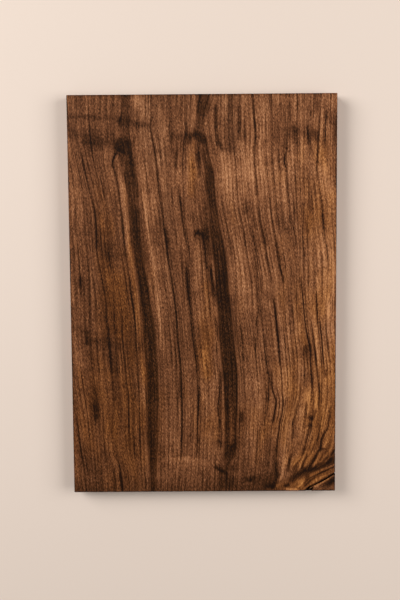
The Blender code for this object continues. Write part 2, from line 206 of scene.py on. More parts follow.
# Soft strokes: half width in mm, then (x, y, amount) points. Above 0 lightens, below 0 darkens.
STROKES = (
    # broad light and shade
    (46.0, ((290, 70, 0.09), (290, 457, 0.10))),
    (42.0, ((22, 30, -0.08), (22, 150, -0.07), (22, 430, -0.03))),
    # lighter about the upper middle: a painted sheen
    (26.0, ((196, 440, 0.05), (199, 375, 0.12), (208, 320, 0.08), (212, 240, 0.05))),
    (26.0, ((62, 40, -0.05), (62, 230, -0.05))),
    (22.0, ((285, 90, 0.03), (285, 240, 0.04), (287, 380, 0.04))),
    (14.0, ((45, 302, -0.07), (45, 274, -0.08))),
    (14.0, ((246, 378, 0.1), (250, 345, 0.09))),
    (14.0, ((234, 285, 0.05), (240, 250, 0.06))),
    (13.0, ((0, 2, -0.07), (225, 2, -0.08))),
    (12.0, ((165, 6, -0.06), (232, 8, -0.1))),
    (12.0, ((0, 4, -0.07), (232, 4, -0.07))),
    (12.0, ((122, 215, -0.05), (122, 165, -0.05))),
    (12.0, ((285, 12, -0.06), (300, 20, -0.06))),
    (12.0, ((246, 160, 0.05), (248, 110, 0.07), (244, 70, 0.05))),
    # more painted sheen about the upper middle
    (12.0, ((215, 450, 0.14), (215, 390, 0.12))),
    (12.0, ((205, 390, 0.1), (212, 362, 0.12))),
    # soft dark patches of the upper third, left to right
    (8.0, ((5, 420, -0.06), (20, 405, -0.06))),
    (3.5, ((6, 318, -0.1), (7, 306, -0.1))),
    (9.0, ((8, 410, -0.1), (45, 410, -0.12))),
    (2.5, ((17, 340, -0.08), (19, 326, -0.08))),
    (6.0, ((18, 405, -0.08), (35, 405, -0.08))),
    (5.0, ((28, 395, -0.06), (37, 398, -0.06))),
    (4.0, ((30, 290, -0.06), (32, 325, -0.08))),
    (6.0, ((32, 404, -0.1), (49, 403, -0.1))),
    (3.0, ((33, 338, -0.1), (35, 322, -0.1))),
    (4.0, ((45, 328, -0.1), (46, 316, -0.08))),
    (4.0, ((50, 433, -0.07), (62, 425, -0.09), (90, 424, -0.06))),
    (5.0, ((55, 395, -0.12), (60, 393, -0.12))),
    (2.6, ((76, 424.5, -0.22), (88, 423.5, -0.2))),
    (4.0, ((90, 382, -0.12), (90, 374, -0.12))),
    (4.0, ((90, 348, -0.1), (91, 342, -0.1))),
    (2.5, ((91.5, 348, -0.08), (92, 338, -0.08))),
    (4.0, ((95, 424, -0.1), (94, 419, -0.1))),
    (3.5, ((114, 328, -0.08), (118, 303, -0.08))),
    (4.5, ((120, 412, -0.12), (135, 410, -0.14), (158, 408, -0.14))),
    (3.5, ((120, 395, -0.1), (121, 378, -0.1))),
    (4.0, ((126, 440, -0.1), (127, 432, -0.1))),
    (4.0, ((146, 402, -0.16), (148, 386, -0.16))),
    (4.0, ((151, 352, -0.1), (153, 340, -0.1))),
    (4.5, ((153, 334, -0.12), (152, 314, -0.14), (157, 300, -0.1))),
    (3.0, ((168, 443, -0.1), (168, 420, -0.12))),
    (4.0, ((185, 395, -0.12), (185, 455, -0.14))),
    (3.5, ((200, 338, -0.1), (201, 328, -0.1))),
    (4.0, ((201, 413, -0.14), (201, 408, -0.14))),
    (5.0, ((212, 312, -0.1), (202, 333, -0.08))),
    (3.5, ((212, 398, -0.08), (222, 399, -0.08))),
    (3.5, ((216, 326, -0.16), (222, 292, -0.2))),
    (3.0, ((226, 384, -0.1), (227, 370, -0.1))),
    (4.5, ((238, 330, -0.12), (249, 304, -0.14))),
    (4.0, ((247, 404, -0.12), (247, 385, -0.12))),
    (5.0, ((254, 414, -0.12), (256, 406, -0.14))),
    (3.5, ((255, 418, -0.12), (275, 410, -0.14))),
    (5.5, ((270, 334, -0.16), (270, 308, -0.18))),
    (4.0, ((276, 330, -0.1), (278, 318, -0.1))),
    (4.0, ((279, 411, -0.14), (281, 407, -0.14))),
    (2.5, ((279, 316, -0.1), (279.5, 306, -0.1))),
    (5.0, ((280, 412, -0.1), (284, 405, -0.1))),
    (4.0, ((286, 378, -0.11), (286, 348, -0.1))),
    (3.5, ((293, 385, -0.08), (293, 380, -0.08))),
    (4.0, ((295, 432, -0.12), (295, 424, -0.1))),
    # soft dark patches of the middle third, left to right
    (4.5, ((12, 250, -0.14), (14, 236, -0.12))),
    (6.0, ((18, 195, -0.1), (22, 150, -0.14))),
    (5.0, ((19, 207, -0.08), (19, 228, -0.08))),
    (4.5, ((32, 305, -0.08), (32, 287, -0.08))),
    (6.0, ((34, 262, -0.06), (38, 236, -0.08))),
    (9.0, ((40, 270, -0.06), (40, 300, -0.06))),
    (6.0, ((40, 205, -0.06), (38, 235, -0.1))),
    (5.0, ((42, 278, -0.1), (60, 276, -0.08))),
    (5.0, ((46, 175, -0.12), (64, 172, -0.1), (65, 148, -0.08))),
    (5.0, ((50, 166, -0.06), (36, 156, -0.06))),
    (10.0, ((51, 192, -0.06), (51, 228, -0.06))),
    (4.5, ((60, 280, -0.06), (64, 276, -0.06))),
    (4.0, ((65, 278, -0.12), (67, 262, -0.12))),
    (8.0, ((74, 245, -0.08), (72, 200, -0.1), (72, 160, -0.1))),
    (4.0, ((80, 326, -0.14), (82, 300, -0.14), (83, 288, -0.12), (86, 256, -0.14), (90, 230, -0.14))),
    (4.0, ((108, 306, -0.1), (115, 294, -0.1))),
    (1.1, ((110.5, 303, -0.14), (112, 288, -0.14))),
    (3.2, ((129, 280, -0.12), (133, 245, -0.12), (140, 200, -0.1), (147, 160, -0.12))),
    (5.0, ((133, 262, -0.08), (137, 228, -0.14))),
    (4.0, ((136, 252, -0.1), (137, 240, -0.12))),
    (4.5, ((139, 196, -0.1), (145, 158, -0.14))),
    (5.0, ((149, 300, -0.12), (151, 290, -0.12))),
    (4.0, ((152, 192, -0.14), (152, 172, -0.14))),
    (4.0, ((156, 330, -0.16), (156, 295, -0.14), (160, 262, -0.18), (163, 232, -0.2))),
    (4.0, ((185, 226, -0.12), (186, 212, -0.14))),
    (4.0, ((188, 205, -0.1), (193, 170, -0.1))),
    (4.0, ((210, 300, -0.1), (215, 282, -0.12))),
    (4.0, ((212, 178, -0.16), (212, 172, -0.16))),
    (4.0, ((217, 250, -0.12), (218, 236, -0.14), (233, 222, -0.08))),
    (3.0, ((240, 275, -0.12), (241, 252, -0.12))),
    (6.0, ((245, 305, -0.06), (255, 298, -0.06))),
    (3.5, ((255, 187, -0.1), (256, 190, -0.1))),
    (5.0, ((276, 256, -0.07), (276, 238, -0.07))),
    (4.0, ((289, 273, -0.1), (289, 270, -0.1))),
    (3.5, ((295, 234, -0.09), (294, 222, -0.09))),
    (3.0, ((297, 240, -0.1), (297, 222, -0.1))),
    (3.0, ((297, 195, -0.1), (297, 172, -0.1))),
    # soft dark patches of the lower third, left to right
    (8.0, ((10, 52, -0.1), (18, 28, -0.14))),
    (4.0, ((20, 115, -0.1), (27, 88, -0.1))),
    (6.0, ((28, 122, -0.18), (28, 100, -0.18))),
    (6.0, ((28, 40, -0.08), (32, 25, -0.08))),
    (4.0, ((50, 160, -0.06), (50, 100, -0.08))),
    (6.0, ((65, 62, -0.07), (74, 46, -0.09))),
    (6.0, ((66, 20, -0.06), (68, 45, -0.06))),
    (5.0, ((76, 152, -0.08), (64, 130, -0.08))),
    (4.0, ((81, 100, -0.08), (82, 70, -0.08))),
    (5.0, ((84, 95, -0.06), (84, 60, -0.1))),
    (8.0, ((100, 55, -0.06), (106, 30, -0.08))),
    (5.0, ((102, 52, -0.07), (102, 48, -0.07))),
    (5.0, ((105, 165, -0.08), (105, 140, -0.12), (110, 108, -0.16))),
    (3.0, ((113, 98, -0.08), (112, 80, -0.08))),
    (4.5, ((121, 148, -0.12), (123, 125, -0.16), (124, 108, -0.12))),
    (4.0, ((124, 128, -0.08), (126, 115, -0.1))),
    (4.0, ((125, 118, -0.08), (125, 112, -0.08))),
    (5.0, ((146, 156, -0.14), (146, 146, -0.14))),
    (3.0, ((159, 115, -0.12), (159, 105, -0.12))),
    (7.0, ((186, 58, -0.12), (182, 30, -0.1), (168, 25, -0.08))),
    (5.0, ((189, 30, -0.12), (172, 28, -0.06))),
    (6.0, ((193, 92, -0.12), (194, 60, -0.1))),
    (4.0, ((195, 92, -0.14), (196, 84, -0.12))),
    (9.0, ((200, 35, -0.1), (208, 16, -0.1))),
    (3.5, ((216, 26, -0.08), (214, 17, -0.1))),
    (5.0, ((217, 34, -0.1), (222, 30, -0.1))),
    (8.0, ((220, 18, -0.06), (236, 22, -0.06))),
    (7.0, ((222, 46, -0.08), (228, 24, -0.08))),
    (5.0, ((229, 62, -0.14), (231, 50, -0.14))),
    (4.5, ((257, 162, -0.1), (258, 137, -0.09))),
    (4.0, ((262, 55, -0.12), (261, 46, -0.12))),
    (3.0, ((270, 52, -0.1), (276, 50, -0.08))),
    (4.5, ((272, 168, -0.16), (275, 132, -0.12))),
    (3.5, ((279, 86, -0.12), (280, 78, -0.1))),
    (4.5, ((283, 52, -0.1), (294, 47, -0.1))),
    (6.0, ((285, 40, -0.08), (297, 52, -0.14))),
    (4.5, ((288, 23, -0.1), (300, 19, -0.1))),
    (4.5, ((291, 38, -0.1), (301, 37, -0.12))),
    (3.0, ((293, 139, -0.08), (293, 125, -0.09))),
    # soft light patches of the upper third, left to right
    (6.0, ((3, 400, 0.06), (4, 345, 0.1))),
    (3.5, ((5, 404, 0.1), (14, 406, 0.1))),
    (6.0, ((7, 350, 0.1), (8, 320, 0.12))),
    (5.0, ((17, 350, 0.1), (15, 312, 0.12))),
    (4.0, ((49, 368, 0.12), (52, 342, 0.12))),
    (4.0, ((61, 362, 0.1), (64, 346, 0.08))),
    (1.6, ((64, 358, 0.12), (65.5, 342, 0.14))),
    (4.5, ((76, 452, 0.12), (77, 446, 0.1))),
    (4.0, ((80, 457, 0.12), (79, 445, 0.1))),
    (7.0, ((82, 457, 0.1), (88, 430, 0.06))),
    (5.5, ((86, 396, 0.08), (91, 345, 0.09))),
    (5.0, ((88, 412, 0.08), (88, 404, 0.08))),
    (4.5, ((88, 376, 0.14), (83, 358, 0.06))),
    (5.0, ((90, 345, 0.1), (88, 325, 0.12))),
    (8.0, ((92, 382, 0.07), (90, 440, 0.1))),
    (4.5, ((95, 343, 0.12), (97, 312, 0.12))),
    (4.0, ((98, 355, 0.08), (100, 328, 0.14))),
    (4.5, ((103, 382, 0.11), (107, 352, 0.09))),
    (4.0, ((107, 440, 0.14), (107, 385, 0.1))),
    (2.4, ((109, 378, 0.08), (110, 350, 0.08))),
    (4.5, ((122, 372, 0.07), (128, 345, 0.08))),
    (5.0, ((125, 384, 0.08), (125, 364, 0.08))),
    (4.0, ((130, 372, 0.14), (137, 335, 0.1))),
    (4.0, ((139, 336, 0.1), (140, 328, 0.1))),
    (3.0, ((165.5, 432, 0.1), (166, 418, 0.1))),
    (3.6, ((174.5, 391, 0.12), (176.5, 370, 0.14), (180, 352, 0.14), (182, 338, 0.08))),
    (5.0, ((178, 388, 0.1), (179, 360, 0.1))),
    (4.0, ((179, 452, 0.1), (176, 434, 0.08))),
    (10.0, ((180, 450, 0.07), (185, 430, 0.05))),
    (4.2, ((183.5, 388, 0.08), (184, 374, 0.2), (184.5, 360, 0.18), (184, 346, 0.06))),
    (10.0, ((192, 372, 0.07), (196, 345, 0.05))),
    (2.4, ((194.5, 403, 0.12), (194.5, 388, 0.12))),
    (3.5, ((199, 452, 0.08), (198, 428, 0.08))),
    (5.0, ((208, 370, 0.08), (208, 364, 0.08))),
    (6.0, ((218, 372, 0.12), (223, 345, 0.12))),
    (2.5, ((223, 445, 0.1), (224, 408, 0.08))),
    (2.4, ((228, 318, 0.08), (229, 305, 0.08))),
    (3.5, ((241, 405, 0.09), (241, 394, 0.09))),
    (4.0, ((243, 365, 0.1), (243, 340, 0.1))),
    (3.5, ((254, 342, 0.08), (255, 330, 0.08))),
    (6.0, ((255, 450, 0.05), (262, 430, 0.05))),
    (5.5, ((260, 386, 0.12), (268, 398, 0.12), (268, 382, 0.12))),
    (7.0, ((262, 380, 0.06), (294, 378, 0.06))),
    (10.0, ((287, 372, 0.1), (288, 340, 0.1))),
    (4.5, ((288, 372, 0.14), (289, 348, 0.16))),
    (6.0, ((300, 457, 0.06), (300, 380, 0.06))),
    (6.0, ((300, 400, 0.1), (299, 345, 0.12))),
    # soft light patches of the middle third, left to right
    (4.0, ((1, 240, 0.16), (2, 225, 0.16))),
    (5.0, ((8, 178, 0.08), (13, 152, 0.14))),
    (4.0, ((30, 195, 0.08), (34, 178, 0.08))),
    (2.4, ((92.5, 250, 0.1), (93.5, 236, 0.1))),
    (4.0, ((100, 282, 0.1), (99, 262, 0.08))),
    (1.2, ((106, 308, 0.12), (108, 288, 0.12))),
    (5.0, ((146, 225, 0.12), (147, 205, 0.08))),
    (5.0, ((146, 290, 0.08), (144, 252, 0.14), (145, 240, 0.14))),
    (2.5, ((146.5, 166, 0.1), (147, 152, 0.1))),
    (8.0, ((157, 142, 0.08), (157, 228, 0.06))),
    (2.0, ((187, 296, 0.1), (188.5, 282, 0.12))),
    (5.0, ((192, 290, 0.1), (194, 265, 0.16), (200, 235, 0.12))),
    (6.0, ((208, 235, 0.08), (212, 215, 0.08))),
    (3.0, ((214, 252, 0.08), (216, 240, 0.08))),
    (6.0, ((244, 205, 0.13), (245, 175, 0.13))),
    (4.0, ((261, 194, 0.1), (261, 186, 0.1))),
    (9.0, ((270, 290, 0.09), (274, 240, 0.09), (272, 205, 0.06))),
    (3.5, ((270, 159, 0.1), (270, 155, 0.1))),
    (5.0, ((287, 290, 0.16), (288, 268, 0.16))),
    (7.0, ((291, 298, 0.14), (294, 250, 0.1), (296, 215, 0.12), (300, 180, 0.14))),
    (10.0, ((296, 185, 0.12), (294, 135, 0.18))),
    (5.0, ((302, 302, 0.16), (302, 252, 0.18), (298, 210, 0.14))),
    # soft light patches of the lower third, left to right
    (8.0, ((12, 65, 0.06), (12, 108, 0.06))),
    (4.0, ((17, 115, 0.06), (17, 90, 0.06))),
    (5.0, ((42, 60, 0.08), (50, 36, 0.1))),
    (3.5, ((105, 38, 0.1), (133, 40, 0.12))),
    (4.0, ((115, 45, 0.1), (115, 38, 0.1))),
    (4.0, ((120, 64, 0.08), (120, 56, 0.08))),
    (4.5, ((130, 38, 0.1), (150, 34, 0.12), (162, 33, 0.1))),
    (2.4, ((152.5, 126, 0.1), (153, 108, 0.1))),
    (3.0, ((158, 30, 0.12), (163, 10, 0.08))),
    (6.0, ((167, 130, 0.06), (170, 70, 0.06))),
    (4.0, ((167, 137, 0.14), (158, 105, 0.12))),
    (2.5, ((184, 43, 0.1), (184.5, 33, 0.12))),
    (5.0, ((205, 133, 0.1), (212, 125, 0.1))),
    (3.5, ((206, 10, 0.08), (211, 8, 0.08))),
    (9.0, ((207, 155, 0.05), (207, 105, 0.07), (205, 60, 0.05))),
    (8.0, ((214, 98, 0.06), (213, 66, 0.06))),
    (4.0, ((215, 82, 0.08), (215, 76, 0.08))),
    (9.0, ((218, 128, 0.12), (217, 108, 0.12))),
    (10.0, ((242, 145, 0.07), (238, 90, 0.07))),
    (5.0, ((247, 142, 0.14), (247, 115, 0.14))),
    (7.0, ((252, 88, 0.07), (252, 60, 0.07))),
    (2.8, ((261.5, 52, 0.24), (261, 45, 0.24))),
    (3.0, ((263, 108, 0.1), (262, 92, 0.12), (264, 76, 0.1))),
    (4.5, ((265, 74, 0.12), (266, 66, 0.12))),
    (3.0, ((265, 72, 0.12), (264, 60, 0.12))),
    (2.5, ((266, 134, 0.1), (266, 122, 0.1))),
    (5.0, ((267, 92, 0.16), (267, 80, 0.16))),
    (8.0, ((268, 150, 0.14), (268, 140, 0.12))),
    (4.0, ((272, 115, 0.12), (270, 95, 0.12))),
    (8.0, ((284, 125, 0.12), (282, 100, 0.1))),
    (2.4, ((285, 100, 0.1), (284, 86, 0.1))),
    # the amber stripe beside the left streak
    (2.9, ((58, 366, 0.08), (61, 355, 0.24), (63, 345, 0.26), (64.5, 330, 0.24),
           (65.5, 315, 0.24), (66.5, 295, 0.2), (68.5, 280, 0.18), (71, 262, 0.19), (73.5, 245, 0.2),
           (75.5, 233, 0.18), (77, 212, 0.2), (78, 195, 0.2), (79, 178, 0.16))),
    (2.4, ((80.5, 165, 0.1), (81.5, 150, 0.16), (82.5, 130, 0.16), (83, 108, 0.18), (83, 92, 0.14),
           (83, 70, 0.08), (83, 35, 0.08))),
    # the bright stripe at its other side
    (1.2, ((85, 350, 0.2), (87, 332, 0.34), (89.3, 312, 0.36), (91.3, 298, 0.26), (93.5, 282, 0.32),
           (95.5, 266, 0.3), (97.5, 250, 0.32), (99.3, 234, 0.4), (101, 217, 0.46), (102.3, 200, 0.46),
           (103.3, 185, 0.36), (104, 168, 0.14))),
    # smudges at the head of the left streak, and the dark line that reaches it
    (4.4, ((57, 405, -0.12), (68, 404, -0.2))),
    (1.0, ((52, 385, -0.2), (54, 391.5, -0.24))),
    (4.5, ((60, 396, -0.16), (66, 397, -0.1))),
    (4.0, ((62, 388, -0.2), (64, 380, -0.14))),
    (3.5, ((74, 402, -0.14), (73, 394, -0.12))),
    (1.0, ((50.5, 377, -0.3), (51.5, 384, -0.4), (53.5, 389, -0.45), (57, 394, -0.3))),
    (0.9, ((51.5, 378, -0.3), (53.5, 369, -0.3), (55.5, 361, -0.3), (57, 350, -0.26), (58.5, 342, -0.2))),
    (1.2, ((76, 405, -0.3), (76.5, 411, -0.3))),
    (1.8, ((2, 434, -0.26), (20, 433, -0.24), (48, 431, -0.14))),
    (3.0, ((57, 430, -0.12), (70, 428, -0.12))),
    # the arched figures beside the head of the right streak
    (4.0, ((139, 348, 0.1), (139, 370, 0.14), (140, 390, 0.14), (142, 402, 0.12))),
    (1.4, ((131, 365, -0.16), (130.5, 385, -0.2), (132, 400, -0.3), (134, 413, -0.3), (134.5, 426, -0.2))),
    (1.5, ((137, 403, -0.26), (137.5, 412, -0.26))),
    (1.8, ((139.5, 405, -0.2), (141, 411, -0.28), (145, 414, -0.26), (150, 411, -0.2), (155, 406, -0.16),
           (158, 401, -0.1))),
    (1.4, ((149, 404, -0.24), (148.5, 392, -0.34), (148.8, 378, -0.34), (149, 366, -0.24))),
    (1.3, ((142, 380, -0.16), (142.5, 375, -0.16))),
    # columns and stripes beside them, down from the upper end
    (4.0, ((184, 455, -0.13), (184, 425, -0.13), (185.5, 396, -0.07))),
    (1.3, ((194, 450, -0.12), (194.5, 425, -0.24), (194.5, 413, -0.2))),
    (1.5, ((168.5, 445, -0.2), (169, 420, -0.28), (170.5, 404, -0.46), (172.5, 401, -0.36),
           (175, 395, -0.26))),
    (1.6, ((143, 456, 0.18), (144.5, 445, 0.22), (143, 432, 0.22), (141, 421, 0.12))),
    (1.6, ((170.5, 401, -0.2), (172.5, 400, -0.2))),
    (2.4, ((174, 392, 0.1), (174, 350, 0.1))),
    # the lower arch, with its stem and its shade
    (5.0, ((157, 306, -0.12), (157, 290, -0.2), (158, 280, -0.14))),
    (4.0, ((145, 302, -0.12), (150, 302, -0.16))),
    (1.5, ((143.5, 300, -0.28), (147, 303, -0.34), (152, 299, -0.32), (153, 286, -0.22), (154, 276, -0.24),
           (156, 266, -0.34), (156.5, 262, -0.34))),
    (2.6, ((152, 299, -0.14), (155, 295, -0.14))),
    (1.0, ((142.5, 298, -0.2), (142.5, 280, -0.2))),
    (1.6, ((160.5, 263, -0.3), (162.5, 250, -0.36), (164.5, 240, -0.34), (166, 230, -0.34),
           (167, 220, -0.16))),
    (0.9, ((160, 276, 0.14), (163.5, 258, 0.22), (166.5, 243, 0.14))),
    # the foot of the right streak: paler between its two dark rims, then a hook
    (2.2, ((184, 58, 0.3), (184, 85, 0.3), (184.5, 104, 0.16))),
    (1.3, ((188.8, 50, -0.14), (189, 100, -0.14))),
    (1.4, ((178.6, 45, -0.14), (179, 108, -0.14))),
    (1.9, ((170.5, 58, -0.24), (171.3, 92, -0.26), (171.5, 112, -0.24), (172, 140, -0.22))),
    (1.0, ((174.8, 60, 0.1), (174.6, 130, 0.14))),
    (1.9, ((164.5, 31, -0.3), (168, 27.5, -0.46), (171.5, 25, -0.34), (175, 23.5, -0.46), (179, 21, -0.2))),
    (0.9, ((163.2, 43, -0.14), (163.8, 34, -0.24))),
    (1.3, ((184, 55, -0.2), (182.5, 42, -0.14), (181, 31, -0.16))),
    (2.8, ((168.5, 54, -0.2), (168.5, 59, -0.2))),
    (1.3, ((168.5, 60, -0.15), (170.5, 85, -0.15))),
    (5.0, ((172, 12, -0.12), (178, 16, -0.12))),
    (7.0, ((174, 17, -0.1), (178, 10, -0.08))),
    # spots and dashes about that foot and up its left rim
    (1.4, ((166.8, 204, -0.2), (167.6, 194, -0.3), (168, 184, -0.16))),
    (2.4, ((195.5, 85, -0.24), (197, 92, -0.22))),
    (1.8, ((200.5, 16, -0.26), (204, 13, -0.32), (207, 13.5, -0.28), (210.5, 18, -0.16))),
    (3.0, ((212, 18, 0.08), (216, 22, 0.08))),
    (7.0, ((206, 8, -0.03), (226, 14, -0.1))),
    (1.2, ((211.5, 38, -0.14), (213.5, 32.5, -0.16))),
    (2.2, ((140, 22, -0.08), (150, 22, -0.1))),
    # shade between the left streak and its light stripe
    (2.4, ((83, 318, -0.04), (84.5, 292, -0.12), (87, 272, -0.1))),
    (2.4, ((94.5, 205, -0.05), (97.5, 180, -0.05))),
    # stripes between the streaks
    (1.7, ((151.5, 110, 0.16), (151.5, 165, 0.16))),
    (2.0, ((154, 90, 0.14), (154, 115, 0.14))),
    (1.6, ((113.5, 60, 0.12), (113.5, 115, 0.12))),
    (1.2, ((158.5, 40, 0.12), (158.5, 75, 0.12))),
    (1.3, ((162, 35, 0.12), (162, 55, 0.12))),
    (1.6, ((132, 30, 0.12), (132, 42, 0.12))),
    (1.0, ((115, 43, -0.06), (140, 43, -0.06))),
    (1.6, ((112, 296, -0.14), (113.5, 280, -0.18), (116, 262, -0.14))),
    # thin lines and columns of the lower left
    (1.0, ((46, 66, -0.1), (50, 48, -0.16), (53, 32, -0.2), (56, 12, -0.22), (57, 2, -0.2))),
    (1.6, ((46, 140, -0.14), (44.5, 175, -0.16), (43.5, 195, -0.14))),
    (1.4, ((51, 170, -0.12), (51.5, 130, -0.14), (49, 108, -0.14))),
    (1.6, ((56, 165, 0.12), (57, 130, 0.1))),
    (1.4, ((34, 165, 0.1), (34, 125, 0.1))),
    (1.4, ((8, 170, 0.1), (9, 125, 0.1))),
    (1.2, ((4, 190, 0.12), (5, 150, 0.12))),
    (1.4, ((16, 120, -0.1), (15, 95, -0.1))),
    (1.2, ((70.5, 110, -0.12), (71, 70, -0.14), (70.5, 40, -0.1))),
    (1.2, ((73, 105, 0.12), (73.5, 70, 0.12))),
    (1.2, ((60.5, 110, 0.12), (61, 70, 0.12))),
    # pin knots, smudges and light spots at the left
    (1.7, ((12, 251, -0.26), (12, 243, -0.26))),
    (3.0, ((9, 281, -0.14), (9, 285, -0.14))),
    (1.9, ((18, 190, -0.26), (18.5, 176, -0.3))),
    (2.2, ((18, 165, -0.15), (24, 158, -0.12))),
    (4.0, ((20, 178, -0.12), (40, 180, -0.1))),
    (2.6, ((26, 102, -0.22), (27, 88, -0.3))),
    (1.6, ((40, 50, 0.1), (39.5, 85, 0.1))),
    (1.8, ((45, 50, 0.12), (45, 62, 0.12))),
    (3.0, ((70, 20, 0.1), (69, 45, 0.1))),
    # knots, dashes and light stripes at the right
    (1.4, ((250.5, 196, -0.24), (256, 199.5, -0.24))),
    (1.1, ((251, 190, 0.14), (251.5, 194, 0.12))),
    (1.6, ((254, 206, -0.18), (254, 214, -0.14))),
    (2.2, ((264, 211, -0.12), (264, 221, -0.12))),
    (4.5, ((270, 156, -0.16), (273, 174, -0.17))),
    (1.8, ((255, 131, -0.16), (256, 134, -0.16))),
    (1.8, ((292.5, 135, -0.16), (292.5, 142, -0.16))),
    (2.0, ((274.3, 87.3, -0.46), (278.3, 85.8, -0.46))),
    (1.8, ((274.8, 79.5, -0.38), (276.3, 75.5, -0.4))),
    (1.5, ((281.7, 96, -0.5), (280.7, 89, -0.5))),
    (1.5, ((283, 254, -0.2), (283, 257, -0.2))),
    (2.5, ((222, 84, -0.06), (245, 84, -0.08))),
    (3.6, ((295, 207, 0.12), (295, 228, 0.12))),
    (1.6, ((282, 170, 0.12), (283, 195, 0.12))),
    (1.6, ((284.5, 130, 0.12), (284.5, 165, 0.12))),
    # knots and dashes at the upper right
    (1.6, ((275, 433, -0.26), (275, 437, -0.26))),
    (1.9, ((292.5, 429, -0.26), (292.5, 436, -0.26))),
    (3.4, ((256, 410, -0.14), (257, 419, -0.12))),
    (1.2, ((272.5, 403, -0.22), (271.5, 418, -0.2))),
    (2.4, ((277, 417, -0.16), (283, 406, -0.14))),
    (2.5, ((302, 345, -0.1), (302, 375, -0.24), (302, 418, -0.26), (301, 438, -0.16))),
    (1.1, ((220, 402, -0.16), (223.5, 405, -0.18), (227, 403, -0.14))),
)

